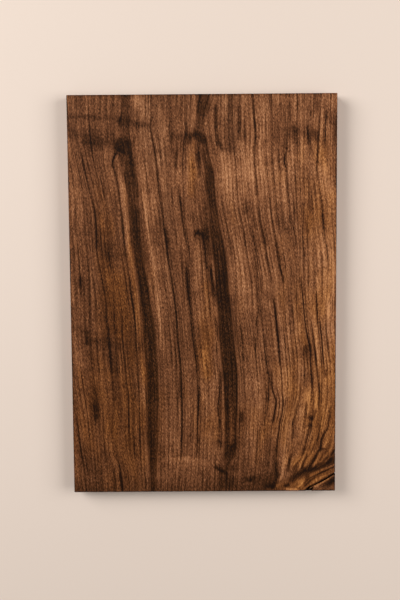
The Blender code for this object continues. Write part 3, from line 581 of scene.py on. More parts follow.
# Long thin lines, laid out alike. Their amounts count by LONG_LINE_SHARE.
LONG_LINES = (
    # between the streaks, and at the right of the right one
    (1.2, ((104, 354, -0.14), (105, 338, -0.26), (106.5, 322, -0.3), (108.8, 306, -0.4),
           (110.7, 292, -0.4), (112.5, 278, -0.3), (114.6, 265, -0.36), (116.7, 250, -0.28),
           (119, 236, -0.3), (121, 216, -0.36), (122, 200, -0.36), (122.5, 186, -0.3), (124, 171, -0.36),
           (125.5, 156, -0.36), (126.3, 140, -0.3), (127, 120, -0.2))),
    (1.2, ((124, 356, -0.12), (126.5, 342, -0.26), (128.5, 328, -0.3), (130.8, 312, -0.34),
           (132.7, 298, -0.4), (135.5, 286, -0.3), (138, 274, -0.26), (139, 262, -0.3),
           (139.5, 250, -0.16))),
    (1.6, ((134, 262, -0.26), (134.5, 246, -0.34), (136.5, 232, -0.36), (138.5, 216, -0.3),
           (139.5, 200, -0.3), (141, 184, -0.26), (143, 168, -0.3), (145, 152, -0.3), (146, 130, -0.2),
           (146, 90, -0.2))),
    (0.9, ((174.5, 340, -0.24), (177.5, 322, -0.36), (180.5, 304, -0.36), (183, 290, -0.26),
           (184.5, 278, -0.14))),
    (1.0, ((207, 308, -0.3), (210.5, 294, -0.44), (213, 280, -0.4), (215, 264, -0.26), (214, 252, -0.16))),
    # from the middle of the board down
    (1.0, ((233, 226, -0.16), (234.5, 215, -0.24), (235.5, 205, -0.26), (236.5, 195, -0.26),
           (238, 180, -0.24), (239.5, 166, -0.26), (241.5, 150, -0.18), (244, 125, -0.14),
           (245, 100, -0.14))),
    (1.4, ((266, 230, -0.14), (267.5, 215, -0.22), (268.7, 205, -0.28), (270, 195, -0.28),
           (271, 187, -0.26), (273.5, 178, -0.3), (276.5, 168, -0.36), (277.5, 160, -0.36),
           (276.8, 145, -0.28), (277.5, 130, -0.28), (277.8, 108, -0.22))),
    (1.5, ((271, 172, -0.2), (268, 161, -0.28), (268.5, 145, -0.22), (269.7, 128, -0.18),
           (271, 120, -0.16))),
    (1.4, ((283, 230, -0.14), (283.3, 210, -0.2), (285.5, 195, -0.26), (287.7, 182, -0.24),
           (289.5, 164, -0.2), (291, 150, -0.22), (293, 139, -0.34), (293.5, 135, -0.26))),
    (1.2, ((290.5, 228, -0.14), (292.5, 208, -0.16), (294, 190, -0.2), (296.3, 168, -0.22),
           (298.2, 150, -0.22), (299.5, 132, -0.18), (300.5, 105, -0.14))),
    (1.2, ((299, 232, -0.14), (299.7, 205, -0.14))),
    (1.3, ((281, 170, -0.1), (283, 155, -0.3), (284.3, 138, -0.42), (286, 118, -0.42),
           (286.5, 104, -0.24))),
    (1.4, ((253, 222, -0.2), (254, 210, -0.2), (253.5, 203, -0.2))),
    (1.4, ((216, 229, -0.16), (218.5, 216, -0.18), (219, 206, -0.12))),
    (1.5, ((213, 200, -0.16), (214.5, 190, -0.18), (216, 178, -0.18), (217, 164, -0.14))),
    (1.4, ((225, 160, -0.06), (226.7, 145, -0.2), (228, 125, -0.34), (227, 108, -0.24))),
    (1.2, ((222, 192, 0.16), (222.5, 176, 0.2), (224, 160, 0.14))),
    (1.3, ((231, 142, -0.16), (231.7, 125, -0.22), (235, 112, -0.2), (236, 98, -0.18))),
    (1.1, ((194.5, 200, -0.14), (196, 186, -0.3), (197.2, 172, -0.26), (198, 158, -0.14))),
    (2.4, ((274.5, 139, -0.14), (277, 128, -0.24))),
    (1.3, ((263.5, 250, -0.2), (265, 240, -0.3), (267, 230, -0.24))),
    # above the crotch, and between the streaks at that height
    (0.9, ((243.8, 112, -0.2), (243.6, 100, -0.36), (241, 86, -0.4), (239.5, 76, -0.34), (237.5, 62, -0.26),
           (236.3, 45, -0.24))),
    (0.9, ((236, 108, -0.26), (235, 97, -0.36), (233, 84, -0.36))),
    (0.9, ((257.5, 90, -0.24), (255.6, 80, -0.44), (255.4, 70, -0.4), (253.6, 60, -0.2))),
    (0.9, ((298.8, 98, -0.34), (297.5, 86, -0.4), (295, 74, -0.34), (292, 66, -0.4), (289, 60, -0.34),
           (287.5, 48, -0.3))),
    (0.9, ((287.3, 78, -0.34), (285.5, 68, -0.4), (283.5, 60, -0.34))),
    (0.9, ((271.3, 105, -0.28), (270.3, 92, -0.3))),
    (0.8, ((260, 104, -0.24), (257.8, 92, -0.24))),
    (0.8, ((264.5, 60, -0.16), (266, 70, -0.2), (267.5, 84, -0.14))),
    (0.9, ((146.2, 120, -0.3), (146, 100, -0.42), (145, 80, -0.4), (144.5, 60, -0.36), (144, 42, -0.26))),
    (0.9, ((127, 118, -0.2), (127.3, 80, -0.34), (126.3, 60, -0.36), (125.3, 38, -0.24))),
    # between the middle and the upper end
    (1.1, ((235, 299, -0.2), (236.5, 287, -0.34), (238.5, 274, -0.2))),
    (1.9, ((221, 308, -0.22), (223, 298, -0.3), (224.5, 288, -0.26))),
    (1.9, ((201.5, 337, -0.18), (202.5, 326, -0.2))),
    (0.9, ((253, 320, -0.16), (255.5, 307, -0.32), (258.8, 292, -0.36), (260, 281, -0.16))),
    (0.9, ((266, 335, -0.2), (267.5, 315, -0.3), (268.5, 295, -0.3), (270, 275, -0.28),
           (269.5, 262, -0.14))),
    (0.9, ((269.5, 318, -0.14), (272.5, 303, -0.3), (275, 292, -0.32), (276.5, 283, -0.16))),
    (0.9, ((249.5, 283, -0.14), (252.5, 268, -0.28), (254, 255, -0.28), (256, 243, -0.18))),
    (0.9, ((297, 342, -0.16), (299, 322, -0.26), (301, 300, -0.24), (302.5, 283, -0.14))),
    # from the upper end down
    (1.4, ((208.5, 457, -0.16), (210.5, 444, -0.24), (211.5, 428, -0.26), (211.8, 416, -0.26),
           (213, 409, -0.4), (212, 395, -0.26), (211.7, 380, -0.24), (213, 365, -0.36), (214, 345, -0.34))),
    (1.4, ((200, 440, -0.14), (201, 415, -0.22), (203, 402, -0.24), (203, 385, -0.14))),
    (2.2, ((230, 457, -0.12), (231, 442, -0.12), (233.7, 425, -0.16), (234, 405, -0.16))),
    (1.3, ((225, 386, -0.2), (225.5, 378, -0.2))),
    (1.3, ((232, 385, -0.18), (232, 381, -0.18))),
    (1.4, ((248, 425, -0.14), (247.7, 400, -0.24), (247.7, 393, -0.24), (246, 385, -0.32),
           (247, 378, -0.32), (248.6, 368, -0.22), (249.5, 345, -0.2))),
    (1.4, ((271, 421, -0.26), (271.6, 412, -0.3), (273.5, 402, -0.3), (277, 391, -0.16),
           (280, 380, -0.12))),
    (1.3, ((273.7, 457, -0.16), (273, 438, -0.14))),
    (1.3, ((285, 457, -0.16), (283, 446, -0.16), (282.5, 435, -0.12))),
    (1.3, ((290, 420, -0.18), (291.5, 410, -0.22), (293, 400, -0.2), (294.5, 390, -0.14))),
    (1.3, ((282.3, 384, -0.2), (282, 373, -0.3), (283.2, 362, -0.36), (284.7, 354, -0.36),
           (287, 342, -0.34), (288.7, 330, -0.34), (290, 312, -0.4), (291.5, 298, -0.4),
           (293.3, 284, -0.4), (295.3, 268, -0.34), (297, 256, -0.14))),
    (1.3, ((292, 388, -0.14), (292.7, 372, -0.16), (294, 358, -0.18), (296, 342, -0.18))),
    (1.3, ((266, 376, -0.14), (267, 350, -0.16))),
    (2.4, ((272, 364, -0.1), (274, 350, -0.18), (275.3, 338, -0.26), (276.5, 326, -0.16))),
)

# The crotch at the split corner, laid out alike
CROTCH = (
    # the light column with its hook, and the dark columns at its sides
    (4.0, ((249, 75, 0.08), (247, 58, 0.12), (245, 42, 0.16), (245, 36, 0.12))),
    (1.8, ((249.5, 43, 0.1), (247.5, 37, 0.2), (245, 31, 0.26), (243.7, 25, 0.3), (243.3, 18, 0.34),
           (240.5, 14, 0.26), (239, 12, 0.14))),
    (2.3, ((236.5, 55, -0.08), (236, 38, -0.14), (235.6, 30, -0.36), (236.5, 22, -0.4), (237, 17, -0.32),
           (235, 11, -0.28), (232.5, 5, -0.24))),
    (3.6, ((224, 5, -0.16), (231.5, 7, -0.26))),
    (1.0, ((231.5, 3.2, -0.2), (233, 5, -0.2))),
    (1.6, ((257, 52, -0.12), (254, 44, -0.2), (252.3, 40, -0.5), (251.6, 35, -0.64), (250.6, 29, -0.44),
           (249.5, 24, -0.26))),
    # flames
    (1.1, ((253, 26, 0.12), (253, 30, 0.24), (254, 34, 0.26), (256, 38.5, 0.22))),
    (1.0, ((256.5, 31, 0.26), (259.3, 34.5, 0.42), (262, 38, 0.42), (264.5, 41.5, 0.28))),
    (2.0, ((257, 38, 0.12), (260, 45, 0.1))),
    (1.1, ((262.5, 22, 0.14), (263.5, 28, 0.26), (264.7, 32, 0.32), (266, 36, 0.32), (267.8, 40, 0.26),
           (269.5, 44, 0.1))),
    (1.1, ((269.5, 30, 0.14), (271.5, 35, 0.32), (274, 39, 0.32), (276.5, 42, 0.2), (278.5, 46, 0.1))),
    (1.3, ((279, 29, 0.16), (281.5, 33, 0.32), (284, 37.5, 0.34), (286, 42, 0.34), (287.2, 45.5, 0.2))),
    (1.0, ((286.5, 32.5, 0.14), (289.5, 36, 0.22), (293, 40.5, 0.24), (296, 45, 0.2), (298.5, 50, 0.16))),
    (0.9, ((291.5, 34.5, 0.12), (296, 38.5, 0.16), (300, 44, 0.14))),
    (1.0, ((298.5, 47, 0.16), (301, 52, 0.2), (303, 58, 0.12))),
    (1.1, ((291, 51.5, 0.14), (293.3, 55, 0.18), (295.5, 59, 0.16), (297.5, 64, 0.1))),
    # dark tongues between the flames
    (2.2, ((260.5, 33.5, -0.26), (258.5, 29, -0.28), (257.5, 24, -0.2))),
    (0.8, ((264, 35.5, -0.2), (265.3, 38.5, -0.24))),
    (1.2, ((265.8, 27, -0.24), (267, 32, -0.46), (269, 36, -0.5), (271, 39.5, -0.36), (273, 43, -0.2))),
    (1.3, ((274.5, 28, -0.26), (277, 32, -0.4), (279.5, 36, -0.52), (281.5, 39.5, -0.54), (283, 43, -0.46),
           (284.7, 47, -0.36), (287, 50, -0.36), (288, 60, -0.28), (290, 67, -0.3), (292, 72, -0.2))),
    (1.0, ((266.5, 42, -0.24), (268.3, 47.5, -0.36), (269.7, 50.5, -0.34))),
    (1.0, ((289.5, 50, -0.3), (292.5, 50.5, -0.24))),
    (0.8, ((287, 37.5, -0.14), (290, 42, -0.2), (293, 46, -0.2))),
    (0.8, ((294, 37.3, -0.14), (297.5, 41.5, -0.2))),
    (0.8, ((276, 44.5, -0.1), (279, 50, -0.2), (281.5, 57, -0.2), (283.5, 64, -0.14))),
    (0.8, ((284, 55, -0.12), (285, 63, -0.24), (286.5, 70, -0.16))),
    (0.8, ((274.5, 56, -0.1), (277.5, 62, -0.18), (278.5, 68, -0.12))),
    (1.4, ((300.3, 43.3, -0.5), (303.5, 47.5, -0.52))),
    (2.0, ((300.5, 38, -0.3), (296.5, 33.5, -0.24))),
    # the dark mass below the flames, and the lines that leave it
    (4.2, ((254.5, 14, -0.38), (260, 18, -0.44), (268, 23, -0.46), (277, 25.5, -0.56), (288, 29.5, -0.36),
           (303, 34, -0.2))),
    (5.0, ((258, 24, -0.06), (272, 28, -0.12), (290, 34, -0.14), (303, 41, -0.12))),
    (2.2, ((271.5, 13.5, -0.26), (272.5, 18, -0.24))),
    (1.2, ((276, 19, 0.14), (283, 23, 0.18), (292, 26.5, 0.18), (303, 30.5, 0.16))),
    (0.9, ((270, 6.5, -0.4), (273, 9.5, -0.44), (276, 12.5, -0.42), (279.5, 15, -0.24), (286, 20.5, -0.14),
           (294, 24, -0.12))),
    (0.8, ((290, 22.5, -0.14), (303, 27.5, -0.18))),
    # darker along the lower end: painted shade on its arris
    (1.2, ((238, 0, -0.16), (246, 0, -0.1))),
    (1.2, ((263, 0, -0.3), (270, 0, -0.3))),
    (1.2, ((281, 0, -0.3), (304, 0, -0.3))),
    # amber along the lower end and above the split, and a dark knot in it
    (2.4, ((260, 10, 0.14), (265, 12, 0.24), (268.5, 14, 0.16))),
    (2.2, ((273.5, 8, 0.12), (279, 12.2, 0.16), (286, 16, 0.18), (293, 19.3, 0.18), (301, 23, 0.1))),
    (1.4, ((249, 2.3, 0.3), (261, 1.6, 0.36))),
    (1.6, ((263.5, 5.5, 0.26), (266.5, 9, 0.4))),
    (2.2, ((236, 6.5, 0.24), (241, 8.5, 0.16))),
    (1.8, ((247, 6.5, -0.46), (250.5, 7.5, -0.4))),
    (1.6, ((249.5, 18, 0.16), (253.5, 21, 0.14))),
    # the split's upper rim darkened as painted shadow, its lower lip pale torn wood with a painted
    # highlight, and the corner below it
    (0.7, ((276, 7, -0.3), (285, 10.2, -0.3), (290, 12.8, -0.3), (295, 15.7, -0.3), (300, 18.9, -0.3),
           (304, 21.7, -0.3))),
    (0.8, ((281, 5.6, 0.16), (286, 7.7, 0.34), (290, 9.8, 0.4), (295, 12.7, 0.4), (300, 15.8, 0.4),
           (303.5, 18.1, 0.3))),
    (4.0, ((293, 6, -0.32), (300, 10, -0.5), (303, 13, -0.5))),
    (1.6, ((280.5, 4.5, 0.14), (285, 6, 0.12))),
)

# Pale specks in the pocket, laid out alike
PALE_SPECKS = (
    (0.9, ((275.8, 2.4, 0.9), (277.4, 3.4, 1.0))),
    (0.6, ((272.4, 2.4, 0.4), (272.8, 2.5, 0.4))),
)

# Strokes of hue, laid out alike: above 0 turns the wood amber, below 0 a cooler brown.
WARM_STROKES = (
    (14.0, ((52, 190, 0.5), (42, 300, 0.5), (40, 345, 0.3))),
    # cooler towards the upper end: a painted sheen, the grey veil of reflected light
    (60.0, ((0, 457, -0.35), (300, 457, -0.25))),
    (70.0, ((0, 90, 0.2), (300, 90, 0.3))),
    (3.0, ((63, 360, 0.4), (72.5, 255, 0.3), (83, 130, 0.2))),
    (40.0, ((285, 60, 0.4), (285, 400, 0.4))),
    (9.0, ((157, 140, 0.6), (155, 240, 0.5))),
    (6.0, ((139, 345, 0.6), (142, 402, 0.5))),
    (9.0, ((236, 5, 0.6), (268, 9, 0.7), (292, 17, 0.7))),
    (9.0, ((257, 32, 0.4), (284, 38, 0.3))),
    # cooler about the upper middle: a painted sheen
    (14.0, ((185, 395, -0.5), (185, 457, -0.5))),
    (13.0, ((120, 60, -0.3), (110, 330, -0.45), (108, 457, -0.45))),
    (24.0, ((110, 20, -0.2), (200, 10, -0.2))),
    (30.0, ((62, 20, 0.45), (62, 240, 0.45))),
    (20.0, ((20, 60, 0.3), (20, 130, 0.3))),
    (12.0, ((92, 380, -0.5), (90, 457, -0.4))),
)

# Spacing of the show face's vertices, in mm: across the board, along it, and about the split corner
FACE_STEP = 1.55
LENGTH_STEP = 2.6
CROTCH_STEP = 0.85
CROTCH_WIDTH = 70.0
CROTCH_HEIGHT = 64.0

# Rows of vertices below the split, and the height from which the rows above it count
LOWER_ROWS = 14
FIRST_STRAIGHT = 8.0

# Left of the pocket the bent rows rise again: by this much, from this far off the pocket, over this run.
LEFT_RISE = 5.0
LEFT_RISE_FROM = 14.0
LEFT_RISE_RUN = 120.0

# Spacing of the edges' and the underside's vertices, and the underside's margin, in mm
WALL_STEP = 2.6
UNDER_STEP = 2.9
UNDER_MARGIN = 3.5

# Vertices of an eased edge as shares of its radius, and the angle in degrees from which an edge is sharp
EASE_STEPS = np.array((0.0, 0.25, 0.55, 1.0))
SHARP_ANGLE = 38.0

# Sines that make an irregular wander: strength, turn in radians per mm, and share of the phase
SINES = ((0.5, 0.83, 1.0), (0.3, 2.31, 2.1), (0.2, 5.87, 3.7))

# The split's section from its lower side to its upper one: place in half mouths, share of the depth.
# The lower side starts with the corner's rolled edge.
SPLIT_SECTION = (
    (-4.2, 0.0), (-3.0, 0.003), (-2.2, 0.009), (-1.6, 0.02), (-1.0, 0.035),
    (-0.85, 0.25), (-0.66, 0.5), (-0.48, 0.75), (-0.3, 1.0),
    (0.3, 1.0), (0.48, 0.75), (0.66, 0.5), (0.85, 0.25), (1.0, 0.0),
)

# The split's line has this many stations, and it opens over these places about the pocket's middle, in mm.
SPLIT_STATIONS = 60
SPLIT_OPENS = (-1.0, 1.5)

# Its lips wander by a share of half the mouth, as far as this many half mouths from the middle.
RAGGED_LIPS = 0.10
RAGGED_WITHIN = 2.0
LIP_PHASE = 0.7

# The bark pocket: its floor's share of its mouth, its lean in mm per mm, and its ragged rim
POCKET_FLOOR = 0.62
POCKET_LEAN = 0.4
RAGGED_POCKET = 0.10
POCKET_LOBES = 9.0
POCKET_PHASE = 1.3

# Bark fills this share of the pocket's depth at the lower end, and none beyond this share of its reach.
BARK_LEFT = 0.86
BARK_REACH = 0.7

# The pale specks stand up by a share of the pocket's depth, and are lighter by a tone.
SPECK_LIFT = 0.9
SPECK_TONE = 0.5

# Depths below the face, in mm, from which fibre starts to be torn and painted darker as shade, and from
# which both are full
TORN_AND_SHADED_DEPTHS = (0.15, 1.2)

# The pith that the rings are arcs about, in mm: beyond the right edge and below the underside
PITH_PLACE = WIDTH + 150.0
PITH_HEIGHT = -160.0

# A guide's mean place is taken over this many stations. A drawn line fades out over a length beyond its
# ends, and crowded lines keep a smallest gap, both in mm.
GUIDE_STATIONS = 120
LINE_FADE = 7.0
SMALLEST_GAP = 0.05

# The greatest depth that counts inside or outside a streak, and the taper of its foot, in mm per mm
STREAK_LIMIT = 9.0
STREAK_END_TAPER = 0.12

# Share of their amount that the long lines darken by
LONG_LINE_SHARE = 0.7

# Painted shade at an arris over a band in mm, and tone lost at the end grain over a share of the eased
# radius
ARRIS_BAND = 0.9
ARRIS_PAINTED_SHADE = 0.25
END_BAND = 0.6
END_SHADE = 0.12

# Contrast of the fine lines: plain, more as x goes through the first range, less in the calm lower right
PLAIN_VIGOUR = 0.9
LIVELY = (150, 290)
LIVELY_GAIN = 0.4
CALM_FROM = (225, 242)
CALM_BELOW = (36, 66)
CALM_LOSS = 0.6

# Turns per mm of the shader's noises, across the grain and along it. The first five follow the bent
# grain, and the last three lean evenly to the left, as they do on the sanded face.
BANDS = (0.36, 0.014)
STRANDS = (0.95, 0.030)
FIBRES = (1.7, 0.17)
CLOUDS = (0.06, 0.020)
CURL = (0.025, 0.085)
FLECKS = (1.0, 0.36)
THREADS = (1.6, 0.7)
PORES = (1.1, 0.36)
LEAN = 0.12

# Bands and strands shift those three along the board, so that neighbours don't line up. Threads are
# shifted further, and pores lie at another depth of their noise.
BAND_SHIFT = 4.0
STRAND_SHIFT = 1.5
THREAD_SHIFT = 2.0
PORE_DEPTH = 40.0

# Rings that bands and strands push a ring off its place, and the share of it that a drawn line resists
BAND_PUSH = 0.5
STRAND_PUSH = 0.25
DRAWN_HOLD = 0.6

# A ring's line: extra half width of a drawn one in mm, and the widest half width as a share of the spacing
DRAWN_EXTRA = 0.8
WIDEST_LINE = 0.5

# Noise that picks the faint rings: its steps from ring to ring, its turns per mm along, and its range
FAINT_STEPS = (7.31, 3.7)
FAINT_ALONG = 0.022
FAINT_RANGE = (0.38, 0.72)

# A streak's frayed rim: mm that bands, fibres and flecks push it by, and the mm that it darkens over
BAND_FRAY = 4.0
FIBRE_FRAY = 3.0
FLECK_FRAY = 4.0
STREAK_RIM = (-1.2, 2.0)

# Ranges of noise over which a pore opens and a strand turns dark
PORE_RANGE = (0.56, 0.78)
STRAND_RANGE = (0.54, 0.78)

# Tone of the clouds and of the cross-grain curl, the clouds' share of the hue, and the range of hue
CLOUD_TONE = 0.22
CURL_TONE = 0.18
CLOUD_HUE = 1.2
HUE_RANGE = (0.0, 0.9)

# Tones that the five browns stand for, from the darkest to amber
BROWN_TONES = (0.0, 0.2, 0.45, 0.7, 1.0)

# Roughness added by threads, pores and torn fibre, and taken away by the dense streaks
THREAD_ROUGHNESS = 0.12
PORE_ROUGHNESS = 0.12
TORN_ROUGHNESS = 0.25
STREAK_SMOOTHNESS = 0.04

# Shares of the relief: fibres and flecks stand up, pores and ring lines lie lower.
FIBRE_HEIGHT = 0.25
FLECK_HEIGHT = 0.35
PORE_HEIGHT = 0.8
RING_HEIGHT = 0.2
RELIEF_STRENGTH = 0.6

# The stage: the floor's half width and the lamps' size and places, in metres
FLOOR_HALF = 1.5
FLOOR_ROUGHNESS = 0.9
FLOOR_SHEEN = 0.2
LAMP_SIZE = 1.3
KEY_PLACE = (-1.5, 0.8, 1.3)
FILL_PLACE = (1.5, 0.2, 1.3)
LAMP_AIM = (0, 0, 0)
WORLD_COLOUR = (1.0, 0.98, 0.96, 1.0)

# The camera of the photograph: lens and sensor in mm, three turns in degrees, and the middle of the show
# face as the camera sees it, in metres
CAMERA_LENS = 50.0
CAMERA_SENSOR = 36.0
CAMERA_TILT = 4.9
CAMERA_SWING = -0.19
CAMERA_ROLL = 0.41
CAMERA_OFFSET = (0.0037, 0.0037, -0.9552)


# Curves and places


def curve_through(points, heights):
    """The drawn curve's x at each height: a cubic between its points, with slopes from their neighbours.

    Below the first point and above the last one it stays where they are.
    """
    places, levels = np.array(points, dtype=float).T[:2]
    slopes = np.gradient(places, levels)
    heights = np.clip(heights, levels[0], levels[-1])
    piece = np.clip(np.searchsorted(levels, heights) - 1, 0, len(levels) - 2)
    span = levels[piece + 1] - levels[piece]
    share = (heights - levels[piece]) / span
    rest = 1 - share
    return (
        rest * rest * (1 + 2 * share) * places[piece]
        + rest * rest * share * span * slopes[piece]
        + share * share * (3 - 2 * share) * places[piece + 1]
        - share * share * rest * span * slopes[piece + 1]
    )


def between(value, low, high):
    """0 below low, 1 above high, and a smooth step from one to the other."""
    share = np.clip((value - low) / (high - low), 0, 1)
    return share * share * (3 - 2 * share)


def spaced(start, stop, step):
    """Even stations from start to stop, about a step apart."""
    return np.linspace(start, stop, max(2, round(abs(stop - start) / step) + 1))


def wander(place, phase):
    """An irregular wander between -1 and 1: the sum of sines of unrelated wavelengths."""
    return sum(strength * np.sin(place * turn + phase * share) for strength, turn, share in SINES)


def unbent(x, y):
    """The place across the unbent grain, which runs evenly from each guide to the next one.

    A guide's own place is its mean x over the board's length.
    """
    routes = [curve_through(points, y) for points in GUIDES]
    stations = np.linspace(0, LENGTH, GUIDE_STATIONS)
    places = [curve_through(points, stations).mean() for points in GUIDES]
    across = places[0] + np.minimum(x - routes[0], 0)
    for left, right, near, far in zip(routes, routes[1:], places, places[1:]):
        across = across + (far - near) * np.clip((x - left) / (right - left), 0, 1)
    return across + np.maximum(x - routes[-1], 0)


def ring_numbers(across, along):
    """Counts growth rings from the left, and finds the drawn line's darkness and the rings' spacing.

    Each drawn line is a whole number. Between two of them the number rises evenly, by as many
    rings as their mean gap has room for.
    """
    places, darkness = [], []
    for points in GROWTH_LINES:
        x, y, dark = np.array(sorted(points, key=lambda point: point[1]), dtype=float).T
        route = np.column_stack((unbent(x, y), y))
        places.append(curve_through(route, along))
        ends = np.concatenate(([y[0] - LINE_FADE], y, [y[-1] + LINE_FADE]))
        darkness.append(np.interp(along, ends, np.concatenate(([0], dark, [0]))))
    places, darkness = np.array(places), np.array(darkness)
    order = np.argsort(places, axis=0)
    places = np.take_along_axis(places, order, axis=0)
    darkness = np.take_along_axis(darkness, order, axis=0)
    gaps = np.maximum(np.diff(places, axis=0), SMALLEST_GAP)
    rings = np.maximum(1, np.round(gaps.mean(axis=1) / RING_GAP))[:, None]
    share = np.clip((across - places[:-1]) / gaps, 0, 1)
    outside = np.minimum(across - places[0], 0) + np.maximum(across - places[-1], 0)
    number = (rings * share).sum(axis=0) + outside / RING_GAP
    counts = np.concatenate(([0], np.cumsum(rings)))[:, None]
    near = np.abs(number - counts) < 0.5
    inside = (share > 0) & (share < 1)
    spacing = np.where(inside.any(axis=0), (inside * gaps / rings).sum(axis=0), RING_GAP)
    return number, (darkness * near).sum(axis=0), spacing


def streak_depth(x, y):
    """How far each point lies inside the nearest dark streak, in mm, and the streak's strength there.

    Inside, it is the distance to the nearer edge along x, and outside it is the same below 0. Past
    the streak's foot it tapers off.
    """
    deepest, strength = np.full_like(x, -STREAK_LIMIT), np.zeros_like(x)
    for edges in STREAKS:
        table = np.array(edges, dtype=float)
        left = curve_through(table[:, [0, 2]], y)
        right = curve_through(table[:, [1, 2]], y)
        beyond_end = np.maximum(table[0, 2] - y, 0)
        inside = np.minimum(x - left, right - x) - beyond_end * STREAK_END_TAPER
        strength = np.where(inside > deepest, np.interp(y, table[:, 2], table[:, 3]), strength)
        deepest = np.maximum(deepest, inside)
    return np.clip(deepest, -STREAK_LIMIT, STREAK_LIMIT), strength


def painted(x, y, strokes):
    """Adds up soft strokes: full on a stroke's line, and off it a bell curve of its half width.

    The amount changes evenly from each point of the line to the next one.
    """
    total = np.zeros_like(x)
    for half_width, points in strokes:
        strongest = np.zeros_like(x)
        for (x0, y0, near), (x1, y1, far) in zip(points, points[1:]):
            run, rise = x1 - x0, y1 - y0
            length = max(run * run + rise * rise, 1e-6)
            share = np.clip(((x - x0) * run + (y - y0) * rise) / length, 0, 1)
            off = (x - x0 - share * run) ** 2 + (y - y0 - share * rise) ** 2
            amount = (near + (far - near) * share) * np.exp(-off / half_width**2)
            strongest = np.where(np.abs(amount) > np.abs(strongest), amount, strongest)
        total += strongest
    return total


def face_place(points):
    """The x and y at which the ring through each point meets the show face.

    Each ring is an arc about the pith, so the point and its place on the face are equally far from it.
    """
    x, y, z = points.T
    fall = (z - PITH_HEIGHT) ** 2 - (THICKNESS - PITH_HEIGHT) ** 2
    return PITH_PLACE - np.sqrt((x - PITH_PLACE) ** 2 + fall), y


# The board's surface


def split_height(x, board):
    """The height of the split's middle line at each x: a chord from the pocket to the edge, bowed.

    The bow is a parabola square to the chord, towards the corner. Left of the pocket the line runs on
    level and then rises smoothly, to spread the rows of vertices that follow it.
    """
    share = np.linspace(0, 1, SPLIT_STATIONS)
    run = board.pocket_from_edge / MM
    rise = (board.split_exit - board.split_start) / MM
    bow = 4 * board.split_bow / MM * share * (1 - share) / math.hypot(run, rise)
    across = WIDTH - run + run * share + rise * bow
    height = board.split_start / MM + rise * share - run * bow
    left_rise = LEFT_RISE * between(WIDTH - run - LEFT_RISE_FROM - x, 0, LEFT_RISE_RUN)
    return np.interp(x, across, height) + left_rise


def pocket_fall(x, y, board):
    """How deep the bark pocket is: its wall falls evenly from an oval mouth to an oval floor.

    The mouth is a ragged oval that leans to the right. Bark and the pale specks take their share of the
    depth.
    """
    pocket = WIDTH - board.pocket_from_edge / MM
    reach = board.pocket_reach / MM
    sideways = (x - pocket - POCKET_LEAN * y) / (board.pocket_half_width / MM)
    off = np.hypot(sideways, y / reach)
    off = off * (1 + RAGGED_POCKET * wander(np.arctan2(y, x - pocket) * POCKET_LOBES, POCKET_PHASE))
    bark_left = 1 - BARK_LEFT * (1 - between(y, 0, reach * BARK_REACH))
    pale_specks = 1 - SPECK_LIFT * np.clip(painted(x, y, PALE_SPECKS), 0, 1)
    return board.pocket_depth / MM * bark_left * pale_specks * np.clip((1 - off) / (1 - POCKET_FLOOR), 0, 1)


def show_face(board):
    """The show face on a grid whose rows bend to follow the split: x, y, z, each columns by rows.

    Rows near the split lie at set offsets from its middle line and go down into it. Above it the
    bend fades out as a square, and the rows are straight from there on. The corner below the split
    sinks evenly from the pocket to the edge.
    """
    ease = board.eased_edge / MM * EASE_STEPS
    x = np.concatenate((
        ease[:-1],
        spaced(ease[-1], WIDTH - CROTCH_WIDTH, FACE_STEP),
        spaced(WIDTH - CROTCH_WIDTH, WIDTH - ease[-1], CROTCH_STEP)[1:],
        WIDTH - ease[:-1][::-1],
    ))[:, None]
    middle = split_height(x, board)
    pocket = WIDTH - board.pocket_from_edge / MM
    towards_edge = np.clip((x - pocket) / (WIDTH - pocket), 0, 1)
    widening = board.split_mouth_outside - board.split_mouth_inside
    mouth = (board.split_mouth_inside + widening * towards_edge) / MM
    slope = math.atan2(board.split_exit - board.split_start, board.pocket_from_edge)
    half = mouth / 2 / math.cos(slope)
    opened = between(x, pocket + SPLIT_OPENS[0], pocket + SPLIT_OPENS[1])

    offsets, falls = np.array(SPLIT_SECTION).T
    wanders = [wander(x[:, 0], LIP_PHASE * row) for row in range(len(offsets))]
    ragged = RAGGED_LIPS * np.column_stack(wanders) * (np.abs(offsets) < RAGGED_WITHIN)
    groove_y = middle + (offsets + ragged * opened) * half
    groove_z = falls * opened * board.split_depth / MM

    low = np.concatenate((ease[:-1], np.zeros(LOWER_ROWS)))[None, :] + np.zeros_like(x)
    share = np.linspace(0, 1, LOWER_ROWS + 1)[:-1]
    low[:, len(ease) - 1:] = ease[-1] + share * (groove_y[:, :1] - ease[-1])

    first = groove_y[:, -1:]
    rows = np.concatenate((
        spaced(FIRST_STRAIGHT, CROTCH_HEIGHT, CROTCH_STEP)[1:],
        spaced(CROTCH_HEIGHT, LENGTH - ease[-1], LENGTH_STEP)[1:],
        LENGTH - ease[:-1][::-1],
    ))[None, :]
    faded = np.clip((rows - FIRST_STRAIGHT) / (CROTCH_HEIGHT - FIRST_STRAIGHT), 0, 1)
    high = rows + (first - FIRST_STRAIGHT) * (1 - faded) ** 2

    y = np.concatenate((low, groove_y, high), axis=1)
    x = np.broadcast_to(x, y.shape)
    split_fall = np.zeros_like(y)
    split_fall[:, low.shape[1]:low.shape[1] + len(offsets)] = groove_z
    corner = np.zeros_like(y)
    corner[:, :low.shape[1] + len(offsets) // 2] = 1
    sunk = board.corner_sunk / MM * corner * towards_edge * opened
    fall = np.maximum(split_fall, pocket_fall(x, y, board)) + sunk
    return x, y, THICKNESS - fall, fall


